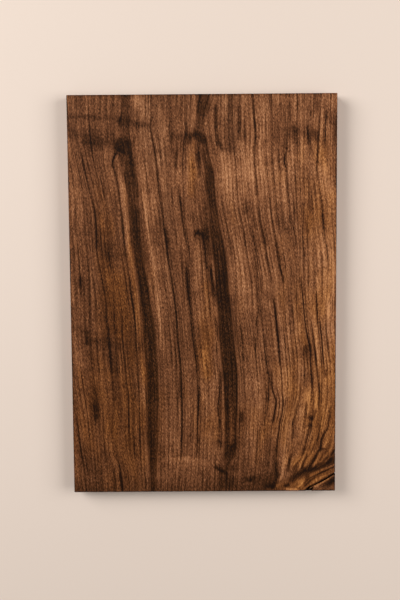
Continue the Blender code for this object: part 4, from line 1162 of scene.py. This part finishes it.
def zip_strip(outer, inner, outer_place, inner_place):
    """Triangles between two rows of vertices with different counts.

    Steps along both rows are sorted by place. Each one makes a triangle with the last vertex that was
    reached on the other row.
    """
    steps = np.concatenate((outer_place[1:], inner_place[1:]))
    from_outer = np.concatenate((np.ones(len(outer) - 1, bool), np.zeros(len(inner) - 1, bool)))
    order = np.argsort(steps, kind="stable")
    from_outer = from_outer[order]
    i = np.cumsum(from_outer)
    j = np.cumsum(~from_outer)
    on_outer = np.column_stack((inner[j], outer[i], outer[i - 1]))
    on_inner = np.column_stack((inner[j - 1], inner[j], outer[i]))
    return np.where(from_outer[:, None], on_outer, on_inner)


def grid_rim(columns, rows, first):
    """The rim of a grid of vertices, once round: lower side, right, upper, left."""
    grid = first + np.arange(columns * rows).reshape(columns, rows)
    return [grid[:-1, 0], grid[-1, :-1], grid[:0:-1, -1], grid[0, :0:-1]], grid


def quads(grid):
    """Four-sided faces between the neighbours of a grid of vertices, all turned the same way."""
    corners = (grid[:-1, :-1], grid[1:, :-1], grid[1:, 1:], grid[:-1, 1:])
    return np.stack(corners, axis=-1).reshape(-1, 4)


def eased(points, radius):
    """Rounds every arris: a point more than the radius off the inner box is drawn in to the radius."""
    inner = np.clip(points, radius, np.array((WIDTH, LENGTH, THICKNESS)) - radius)
    off = points - inner
    distance = np.linalg.norm(off, axis=1, keepdims=True)
    return inner + off * np.minimum(1, radius / np.maximum(distance, 1e-9))


def board_shape(board):
    """The closed board: the show face, rings of wall below its rim, and a coarser underside.

    Each ring is the face's rim again at its own level, drawn in by an inset. Where the rim dips into
    the split or the pocket, the levels below it are pressed together in the same proportion. Returns
    the points, how torn each one is with painted shade in the recesses, and the faces with four and with
    three sides.
    """
    x, y, z, fall = show_face(board)
    columns, rows = x.shape
    sides, grid = grid_rim(columns, rows, 0)
    rim = np.concatenate(sides)
    points = [np.column_stack((x.ravel(), y.ravel(), z.ravel()))]
    # how torn each point is, which also paints the split and the pocket dark as shade, from its depth
    torn_and_shaded = [between(fall.ravel(), *TORN_AND_SHADED_DEPTHS)]
    faces = [quads(grid)]

    radius = board.eased_edge / MM
    ease = radius * EASE_STEPS
    upright = spaced(THICKNESS - radius, radius, WALL_STEP)
    levels = np.concatenate((THICKNESS - ease[1:-1], upright, ease[-2::-1]))
    rings = [(0.0, level) for level in levels] + [(inset, 0.0) for inset in ease[1:]]
    top = points[0][rim]
    above, count = rim, columns * rows
    half_width, half_length = WIDTH / 2, LENGTH / 2
    for inset, level in rings:
        ring = top.copy()
        ring[:, 0] = half_width + (top[:, 0] - half_width) * (1 - inset / half_width)
        ring[:, 1] = half_length + (top[:, 1] - half_length) * (1 - inset / half_length)
        ring[:, 2] = top[:, 2] * level / THICKNESS
        points.append(ring)
        torn_and_shaded.append(np.zeros(len(ring)))
        below = count + np.arange(len(rim))
        faces.append(np.column_stack((below, np.roll(below, -1), np.roll(above, -1), above)))
        above, count = below, count + len(rim)

    under_x = spaced(UNDER_MARGIN, WIDTH - UNDER_MARGIN, UNDER_STEP)
    under_y = spaced(UNDER_MARGIN, LENGTH - UNDER_MARGIN, 2 * UNDER_STEP)
    under = np.stack(np.meshgrid(under_x, under_y, [0.0], indexing="ij"), axis=-1).reshape(-1, 3)
    points.append(under)
    torn_and_shaded.append(np.zeros(len(under)))
    inner_sides, inner_grid = grid_rim(len(under_x), len(under_y), count)
    faces.append(quads(inner_grid)[:, ::-1])
    everything = np.concatenate(points)
    triangles = []
    side_starts = np.cumsum([0] + [len(side) for side in sides])
    directions = ((0, 1), (1, 1), (0, -1), (1, -1))
    for number, (axis, sign) in enumerate(directions):
        outer = above[np.arange(side_starts[number], side_starts[number + 1] + 1) % len(above)]
        inner = np.append(inner_sides[number], inner_sides[(number + 1) % 4][0])
        places = sign * everything[:, axis]
        triangles.append(zip_strip(outer, inner, places[outer], places[inner]))
    return eased(everything, radius), np.concatenate(torn_and_shaded), np.concatenate(faces), np.concatenate(triangles)


def build_mesh(name, points, four_sided, three_sided):
    """A mesh of points in board mm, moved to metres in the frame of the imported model."""
    corner = np.array((LOWEST.x, LOWEST.y, LOWEST.z))
    mesh = bpy.data.meshes.new(name)
    mesh.vertices.add(len(points))
    mesh.vertices.foreach_set("co", (points * MM + corner).astype(np.float32).ravel())
    loops = np.concatenate((four_sided.ravel(), three_sided.ravel()))
    mesh.loops.add(len(loops))
    mesh.loops.foreach_set("vertex_index", loops.astype(np.int32))
    starts = np.concatenate((
        np.arange(len(four_sided)) * 4,
        len(four_sided) * 4 + np.arange(len(three_sided)) * 3,
    ))
    mesh.polygons.add(len(starts))
    mesh.polygons.foreach_set("loop_start", starts.astype(np.int32))
    mesh.update(calc_edges=True)
    mesh.validate()
    if (len(mesh.vertices), len(mesh.polygons)) != (len(points), len(starts)):
        raise RuntimeError("the board's mesh lost vertices or faces when it was checked")
    mesh.shade_smooth()
    mesh.set_sharp_from_angle(angle=math.radians(SHARP_ANGLE))
    return mesh


def put_in_scene(name, data):
    """A new object that shows the data, linked into the scene."""
    obj = bpy.data.objects.new(name, data)
    bpy.context.scene.collection.objects.link(obj)
    return obj


# The figure on the mesh


def painted_arris_shade_and_end_grain(points, radius):
    """Painted shade at the arrises of the show face, and tone lost on the end grain, which drinks more oil.

    The arris's painted shade is a bell curve of the distance to the nearest side, near the show face only.
    """
    x, y, z = points.T
    side = np.minimum(x, WIDTH - x)
    end = np.minimum(y, LENGTH - y)
    near_face = between(z, THICKNESS - 2 * radius, THICKNESS)
    arris = np.exp(-(np.minimum(side, end) / ARRIS_BAND) ** 2) * near_face
    return -ARRIS_PAINTED_SHADE * arris - END_SHADE * (1 - between(end, 0, END_BAND * radius))


def add_figure(mesh, points, torn_and_shaded, radius):
    """Stores the figure on the mesh, as four layers of three numbers that the shader reads.

    grain: place across the unbent grain, place along it and depth. ring: ring number, darkness of the
    drawn line and spacing. tone: painted tone, hue, and torn fibre with painted shade in the recesses.
    streak: depth inside a streak, its strength and the contrast of the fine lines.
    """
    x, y = face_place(points)
    across = unbent(x, y)
    number, darkness, spacing = ring_numbers(across, y)
    tone = painted(x, y, STROKES) + LONG_LINE_SHARE * painted(x, y, LONG_LINES)
    # the arrises take painted shade here, and the end grain a darker tone
    tone = tone + painted(x, y, CROTCH) + painted_arris_shade_and_end_grain(points, radius)
    streak, strength = streak_depth(x, y)
    pale_specks = np.clip(painted(points[:, 0], points[:, 1], PALE_SPECKS), 0, 1) * (torn_and_shaded > 0)
    calm = between(x, *CALM_FROM) * (1 - between(y, *CALM_BELOW))
    vigour = PLAIN_VIGOUR + LIVELY_GAIN * between(x, *LIVELY) - CALM_LOSS * calm
    hue = painted(x, y, WARM_STROKES)
    layers = {
        "grain": np.column_stack((across, y, THICKNESS - points[:, 2])),
        "ring": np.column_stack((number, darkness, spacing)),
        "tone": np.column_stack((tone + pale_specks * SPECK_TONE, hue, torn_and_shaded * (1 - pale_specks))),
        "streak": np.column_stack((streak, strength, vigour)),
    }
    for name, values in layers.items():
        layer = mesh.attributes.new(name, "FLOAT_VECTOR", "POINT")
        layer.data.foreach_set("vector", values.astype(np.float32).ravel())


# Shader maths


class Number:
    """A shader value. Arithmetic on it adds the Math nodes that work it out."""

    def __init__(self, kit, socket):
        self.kit = kit
        self.socket = socket

    def __add__(self, other):
        return self.kit.maths("ADD", self, other)

    def __sub__(self, other):
        return self.kit.maths("SUBTRACT", self, other)

    def __rsub__(self, other):
        return self.kit.maths("SUBTRACT", other, self)

    def __mul__(self, other):
        return self.kit.maths("MULTIPLY", self, other)

    def __truediv__(self, other):
        return self.kit.maths("DIVIDE", self, other)

    def __rtruediv__(self, other):
        return self.kit.maths("DIVIDE", other, self)

    def __abs__(self):
        return self.kit.maths("ABSOLUTE", self)

    __radd__ = __add__
    __rmul__ = __mul__


class Kit:
    """Adds nodes to one material, or to the world."""

    def __init__(self, owner, shader="Principled BSDF"):
        owner.use_nodes = True
        self.tree = owner.node_tree
        self.shader = self.tree.nodes[shader]

    def node(self, kind, settings=None, sockets=None, output=0):
        """Adds a node: its settings first, then the values or links of its sockets."""
        node = self.tree.nodes.new(kind)
        for name, value in (settings or {}).items():
            if name == "stops":
                ramp = node.color_ramp
                while len(ramp.elements) < len(value):
                    ramp.elements.new(1.0)
                for element, (place, colour) in zip(ramp.elements, value):
                    element.position = place
                    element.color = (*colour, 1.0)
            else:
                setattr(node, name, value)
        for name, value in (sockets or {}).items():
            self.feed(node.inputs[name], value)
        return node.outputs[output]

    def feed(self, socket, value):
        """Links a value to a socket, or sets the socket where the value is a plain one."""
        value = value.socket if isinstance(value, Number) else value
        if isinstance(value, bpy.types.NodeSocket):
            self.tree.links.new(value, socket)
        else:
            socket.default_value = value

    def maths(self, operation, *values):
        """The result of one operation on numbers."""
        sockets = dict(enumerate(values))
        return Number(self, self.node("ShaderNodeMath", {"operation": operation}, sockets))

    def separate(self, vector):
        """The three numbers of a vector."""
        sockets = {"Vector": vector}
        return [Number(self, self.node("ShaderNodeSeparateXYZ", None, sockets, axis)) for axis in "XYZ"]

    def stored(self, name):
        """The three numbers that the mesh stores under a name."""
        return self.separate(self.node("ShaderNodeAttribute", {"attribute_name": name}, output="Vector"))

    def places(self):
        """The board's own x, y and z, in mm."""
        places = self.separate(self.node("ShaderNodeTexCoord", output="Object"))
        return [place * (1 / MM) for place in places]

    def vector(self, x, y, z):
        """A vector of three numbers."""
        return self.node("ShaderNodeCombineXYZ", sockets={"X": x, "Y": y, "Z": z})

    def noise(self, x, y, z, detail=2.0, roughness=0.5):
        """Noise between about 0 and 1, with a mean of a half."""
        sockets = {"Vector": self.vector(x, y, z), "Scale": 1.0, "Detail": detail, "Roughness": roughness}
        return Number(self, self.node("ShaderNodeTexNoise", sockets=sockets))

    def step(self, value, low, high):
        """0 below low, 1 above high, and a smooth step between them."""
        sockets = {"Value": value, "From Min": low, "From Max": high}
        return Number(self, self.node("ShaderNodeMapRange", {"interpolation_type": "SMOOTHSTEP"}, sockets))

    def mix(self, share, first, second, blend="MIX"):
        """The first colour, blended with the second by a share between 0 and 1.

        Sockets 6, 7 and 2 are the colours among those of the same name.
        """
        settings = {"data_type": "RGBA", "blend_type": blend, "clamp_factor": True}
        return self.node("ShaderNodeMix", settings, {0: share, 6: first, 7: second}, output=2)


# Materials


def walnut_material(looks):
    """Oiled walnut, from the figure that the mesh stores and from noises along its grain.

    The tone is the painted one, plus long lines and short specks about their means, less what the
    rings, pores and streaks darken. It picks a brown, and the hue then tints that brown.
    """
    material = bpy.data.materials.new("walnut")
    kit = Kit(material)
    across, along, depth = kit.stored("grain")
    x, y, z = kit.places()
    number, drawn, spacing = kit.stored("ring")
    painted_tone, hue, torn_and_shaded = kit.stored("tone")
    streak, strength, vigour = kit.stored("streak")

    def grain_noise(turns, roughness=0.5):
        """Noise that is drawn out along the bent grain."""
        return kit.noise(across * turns[0], along * turns[1], depth * turns[0], roughness=roughness)

    bands = grain_noise(BANDS, roughness=0.55)
    strands = grain_noise(STRANDS, roughness=0.55)
    fibres = grain_noise(FIBRES, roughness=0.6)
    clouds = grain_noise(CLOUDS)
    curl = grain_noise(CURL)

    leaning = x + y * LEAN
    shift = bands * BAND_SHIFT + strands * STRAND_SHIFT
    flecks = kit.noise(leaning * FLECKS[0], y * FLECKS[1] + shift, z * FLECKS[0], roughness=0.6)
    thread_y = y * THREADS[1] + shift * THREAD_SHIFT
    threads = kit.noise(leaning * THREADS[0], thread_y, z * THREADS[0], detail=1.0)
    pore_z = z * PORES[0] + PORE_DEPTH
    pores = kit.step(kit.noise(leaning * PORES[0], y * PORES[1] + shift, pore_z, detail=1.0), *PORE_RANGE)

    push = (bands - 0.5) * BAND_PUSH + (strands - 0.5) * STRAND_PUSH
    bent = number + push * (1 - drawn * DRAWN_HOLD)
    nearest = kit.maths("ROUND", bent)
    reach = kit.maths("MINIMUM", (drawn * DRAWN_EXTRA + looks.line_width) / spacing, WIDEST_LINE)
    line = 1 - kit.step(abs(bent - nearest) / reach, 0.0, 1.0)
    picked = kit.noise(nearest * FAINT_STEPS[0], along * FAINT_ALONG, nearest * FAINT_STEPS[1])
    faint = kit.step(picked, *FAINT_RANGE)
    ring_dark = line * (drawn * looks.drawn_lines + faint * looks.faint_lines)
    late_wood = kit.maths("FRACT", bent)
    late_wood = late_wood * late_wood

    fray = (bands - 0.5) * BAND_FRAY + (fibres - 0.5) * FIBRE_FRAY + (flecks - 0.5) * FLECK_FRAY
    in_streak = kit.step(streak + fray, *STREAK_RIM) * strength

    lines = (
        (bands - 0.5) * looks.band_contrast
        + (strands - 0.5) * looks.strand_contrast
        - ring_dark
        - late_wood * looks.late_wood
        - kit.step(strands, *STRAND_RANGE) * looks.dark_strands
    )
    specks = (
        (fibres - 0.5) * looks.fibre_contrast
        + (flecks - 0.5) * looks.fleck_contrast
        + (threads - 0.5) * looks.thread_contrast
        - pores * looks.pore_contrast
    )
    tone = (
        painted_tone
        + looks.base_tone
        + lines * vigour
        + specks
        + (clouds - 0.5) * CLOUD_TONE
        + (curl - 0.5) * CURL_TONE
        - in_streak * looks.streak_tone
    )
    browns = (looks.black_brown, looks.dark_brown, looks.middle_brown, looks.light_brown, looks.amber)
    wood = kit.node("ShaderNodeValToRGB", {"stops": list(zip(BROWN_TONES, browns))}, {"Fac": tone})
    warm = kit.step(hue + (clouds - 0.5) * CLOUD_HUE, *HUE_RANGE)
    cool = kit.step((clouds - 0.5) * CLOUD_HUE - hue, *HUE_RANGE)
    wood = kit.mix(warm, wood, (*looks.warm_tint, 1), "MULTIPLY")
    wood = kit.mix(cool, wood, (*looks.cool_tint, 1), "MULTIPLY")
    # inside the split and the pocket: torn fibre and bark, darkened further as painted shade in the recess
    inside = kit.mix(threads, (*looks.black_brown, 1), (*looks.bark_and_shade, 1))
    roughness = (
        looks.roughness
        + (threads - 0.5) * THREAD_ROUGHNESS
        + pores * PORE_ROUGHNESS
        - in_streak * STREAK_SMOOTHNESS
        + torn_and_shaded * TORN_ROUGHNESS
    )
    height = (
        (fibres - 0.5) * FIBRE_HEIGHT
        + (flecks - 0.5) * FLECK_HEIGHT
        - pores * PORE_HEIGHT
        - ring_dark * RING_HEIGHT
    )
    relief = {"Height": height, "Distance": looks.relief, "Strength": RELIEF_STRENGTH}
    kit.feed(kit.shader.inputs["Base Color"], kit.mix(torn_and_shaded, wood, inside))
    kit.feed(kit.shader.inputs["Roughness"], roughness)
    kit.feed(kit.shader.inputs["Normal"], kit.node("ShaderNodeBump", sockets=relief))
    kit.shader.inputs["Specular IOR Level"].default_value = looks.sheen
    return material


def floor_material(stage):
    """A plain, dull floor of one colour."""
    material = bpy.data.materials.new("floor")
    kit = Kit(material)
    kit.shader.inputs["Base Color"].default_value = (*stage.floor_colour, 1)
    kit.shader.inputs["Roughness"].default_value = FLOOR_ROUGHNESS
    kit.shader.inputs["Specular IOR Level"].default_value = FLOOR_SHEEN
    return material


# Sizes and colours that a user may change


def size_value(name, description, millimetres):
    """A length that a user may change, stored in metres and shown with its unit."""
    default = millimetres * MM
    return FloatProperty(name=name, description=description, default=default, min=0.0, subtype="DISTANCE")


def share_value(name, description, default):
    """A strength or a tone that a user may change, from 0 to 2."""
    return FloatProperty(name=name, description=description, default=default, min=0.0, max=2.0)


def power_value(name, description, watts):
    """A lamp's power that a user may change."""
    return FloatProperty(name=name, description=description, default=watts, min=0.0, unit="POWER")


def colour_value(name, description, default):
    """A colour that a user may change, as linear red, green and blue."""
    return FloatVectorProperty(
        name=name, description=description, default=default, min=0.0, max=1.0, size=3, subtype="COLOR"
    )


class BoardShape(bpy.types.PropertyGroup):
    """Sizes of the board's edges, bark pocket and split."""

    eased_edge: size_value("Eased edge", "Radius that the arrises are sanded to", 0.8)
    pocket_from_edge: size_value("Pocket from edge", "Middle of the bark pocket from the right edge", 30.6)
    pocket_half_width: size_value("Pocket half width", "Half of the pocket's width along the lower end", 4.6)
    pocket_reach: size_value("Pocket reach", "How far the pocket reaches up the board", 6.0)
    pocket_depth: size_value("Pocket depth", "Depth of the pocket below the show face", 13.0)
    split_start: size_value("Split start", "Height of the split's start above the lower end", 4.4)
    split_exit: size_value("Split exit", "Height at which the split leaves the right edge", 21.0)
    split_bow: size_value("Split bow", "How far the split bows towards the corner", 1.1)
    split_mouth_inside: size_value("Mouth at pocket", "Width of the split's mouth at the pocket", 1.2)
    split_mouth_outside: size_value("Mouth at edge", "Width of the split's mouth at the right edge", 2.0)
    split_depth: size_value("Split depth", "Depth of the split below the show face", 12.5)
    corner_sunk: size_value("Corner sunk", "How far the split corner has sunk at the edge", 0.25)


class BoardLooks(bpy.types.PropertyGroup):
    """Colours and strengths of the wood's figure."""

    black_brown: colour_value("Black brown", "Darkest lines and pores", (0.0110, 0.0030, 0.0003))
    dark_brown: colour_value("Dark brown", "Heartwood streaks", (0.041, 0.0124, 0.0016))
    middle_brown: colour_value("Middle brown", "Shaded wood", (0.117, 0.0390, 0.0138))
    light_brown: colour_value("Light brown", "Open wood", (0.266, 0.100, 0.0380))
    amber: colour_value("Amber", "Brightest stripes and flames", (0.566, 0.259, 0.116))
    # the darkest inside of the split and the pocket: bark and torn fibre, with painted shade for the recess
    bark_and_shade: colour_value("Bark", "Torn fibre inside the split and the pocket", (0.016, 0.008, 0.004))
    warm_tint: colour_value("Warm tint", "Multiplies the colour where the wood is amber", (1.0, 0.90, 0.55))
    cool_tint: colour_value("Cool tint", "Multiplies the colour where the wood is cooler", (0.93, 0.96, 1.0))
    base_tone: share_value("Base tone", "Tone of plain wood, from black to amber", 0.58)
    streak_tone: share_value("Streak depth", "How much a streak darkens", 0.32)
    drawn_lines: share_value("Drawn lines", "How much a drawn growth line darkens", 0.32)
    faint_lines: share_value("Faint rings", "How much an unmarked ring darkens", 0.30)
    late_wood: share_value("Late wood", "How much each ring darkens towards its line", 0.10)
    band_contrast: share_value("Band contrast", "Strength of the long soft bands", 0.70)
    strand_contrast: share_value("Strand contrast", "Strength of the long thin strands", 0.60)
    dark_strands: share_value("Dark strands", "How much the sparse long dark strands darken", 0.24)
    fibre_contrast: share_value("Fibre contrast", "Strength of the long fibres", 0.40)
    fleck_contrast: share_value("Fleck contrast", "Strength of the short flecks", 1.25)
    thread_contrast: share_value("Thread contrast", "Strength of the finest threads", 0.35)
    pore_contrast: share_value("Pore contrast", "How much an open pore darkens", 0.20)
    line_width: share_value("Line width", "Half width of a growth line, in mm", 1.35)
    roughness: share_value("Roughness", "Roughness of the oiled face", 0.56)
    sheen: share_value("Specular level", "Strength of the oil's reflection", 0.10)
    relief: size_value("Relief", "Height of the fine relief", 0.25)


class StageLooks(bpy.types.PropertyGroup):
    """Colours and light of the stage."""

    floor_colour: colour_value("Floor", "Pale floor that the board lies on", (0.80, 0.67, 0.575))
    key_power: power_value("Key light", "Power of the lamp at the left", 38.0)
    fill_power: power_value("Fill light", "Power of the lamp at the right", 24.0)
    world_strength: share_value("World", "Strength of the even light from all round", 0.20)


# The board and its stage


class WALNUT_OT_make_board(bpy.types.Operator):
    """Makes the figured board in place of the plain one"""

    bl_idname = "walnut.make_board"
    bl_label = "Make board"

    def execute(self, context):
        scene = context.scene
        points, torn_and_shaded, four_sided, three_sided = board_shape(scene.walnut_shape)
        mesh = build_mesh("board", points, four_sided, three_sided)
        add_figure(mesh, points, torn_and_shaded, scene.walnut_shape.eased_edge / MM)
        mesh.materials.append(walnut_material(scene.walnut_looks))
        board = put_in_scene("figured_board", mesh)
        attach(board, "root")
        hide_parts("walnut_board")
        return {"FINISHED"}


def add_lamp(name, place, power):
    """A large square lamp at a place, turned to the point that it lights."""
    data = bpy.data.lights.new(name, "AREA")
    data.shape = "SQUARE"
    data.size = LAMP_SIZE
    data.energy = power
    lamp = put_in_scene(name, data)
    lamp.location = place
    lamp.rotation_euler = (Vector(LAMP_AIM) - Vector(place)).to_track_quat("-Z", "Y").to_euler()


def add_camera():
    """The camera of the photograph: turned about three axes in order, then set back from the show face."""
    turn = (
        Matrix.Rotation(math.radians(CAMERA_ROLL), 3, "Z")
        @ Matrix.Rotation(math.radians(CAMERA_SWING), 3, "Y")
        @ Matrix.Rotation(math.radians(CAMERA_TILT), 3, "X")
    )
    data = bpy.data.cameras.new("camera")
    data.lens = CAMERA_LENS
    data.sensor_width = CAMERA_SENSOR
    camera = put_in_scene("camera", data)
    face_middle = Vector(((LOWEST.x + HIGHEST.x) / 2, (LOWEST.y + HIGHEST.y) / 2, HIGHEST.z))
    camera.location = face_middle - turn.transposed() @ Vector(CAMERA_OFFSET)
    camera.rotation_euler = turn.transposed().to_euler()
    bpy.context.scene.camera = camera


class WALNUT_OT_make_stage(bpy.types.Operator):
    """Makes the floor, the lamps, the world's light and the camera"""

    bl_idname = "walnut.make_stage"
    bl_label = "Make stage"

    def execute(self, context):
        scene = context.scene
        stage = scene.walnut_stage
        mesh = bpy.data.meshes.new("floor")
        corners = [(x * FLOOR_HALF, y * FLOOR_HALF, 0) for x, y in ((-1, -1), (1, -1), (1, 1), (-1, 1))]
        mesh.from_pydata(corners, [], [(0, 1, 2, 3)])
        mesh.materials.append(floor_material(stage))
        floor = put_in_scene("floor", mesh)
        add_lamp("key", KEY_PLACE, stage.key_power)
        add_lamp("fill", FILL_PLACE, stage.fill_power)
        world = bpy.data.worlds.new("world")
        kit = Kit(world, "Background")
        seen = Number(kit, kit.node("ShaderNodeLightPath", output="Is Camera Ray"))
        kit.shader.inputs["Color"].default_value = WORLD_COLOUR
        kit.feed(kit.shader.inputs["Strength"], stage.world_strength + (1 - stage.world_strength) * seen)
        scene.world = world
        scene.view_settings.view_transform = "Standard"
        add_camera()
        return {"FINISHED"}


# Panel and registration


class WALNUT_PT_board(bpy.types.Panel):
    """Lists the board's steps, sizes and colours"""

    bl_idname = "WALNUT_PT_board"
    bl_label = "Walnut board"
    bl_space_type = "VIEW_3D"
    bl_region_type = "UI"
    bl_category = "Walnut board"

    def draw(self, context):
        for operator in (WALNUT_OT_make_board, WALNUT_OT_make_stage):
            self.layout.operator(operator.bl_idname)
        scene = context.scene
        for group in (scene.walnut_shape, scene.walnut_looks, scene.walnut_stage):
            column = self.layout.column(align=True)
            for name in group.__annotations__:
                column.prop(group, name)


CLASSES = (BoardShape, BoardLooks, StageLooks, WALNUT_OT_make_board, WALNUT_OT_make_stage, WALNUT_PT_board)


def register():
    for item in CLASSES:
        bpy.utils.register_class(item)
    bpy.types.Scene.walnut_shape = PointerProperty(type=BoardShape)
    bpy.types.Scene.walnut_looks = PointerProperty(type=BoardLooks)
    bpy.types.Scene.walnut_stage = PointerProperty(type=StageLooks)


def unregister():
    del bpy.types.Scene.walnut_stage
    del bpy.types.Scene.walnut_looks
    del bpy.types.Scene.walnut_shape
    for item in reversed(CLASSES):
        bpy.utils.unregister_class(item)


def main():
    """Makes the board and its stage."""
    register()
    bpy.ops.walnut.make_board()
    bpy.ops.walnut.make_stage()


if __name__ == "__main__":
    main()
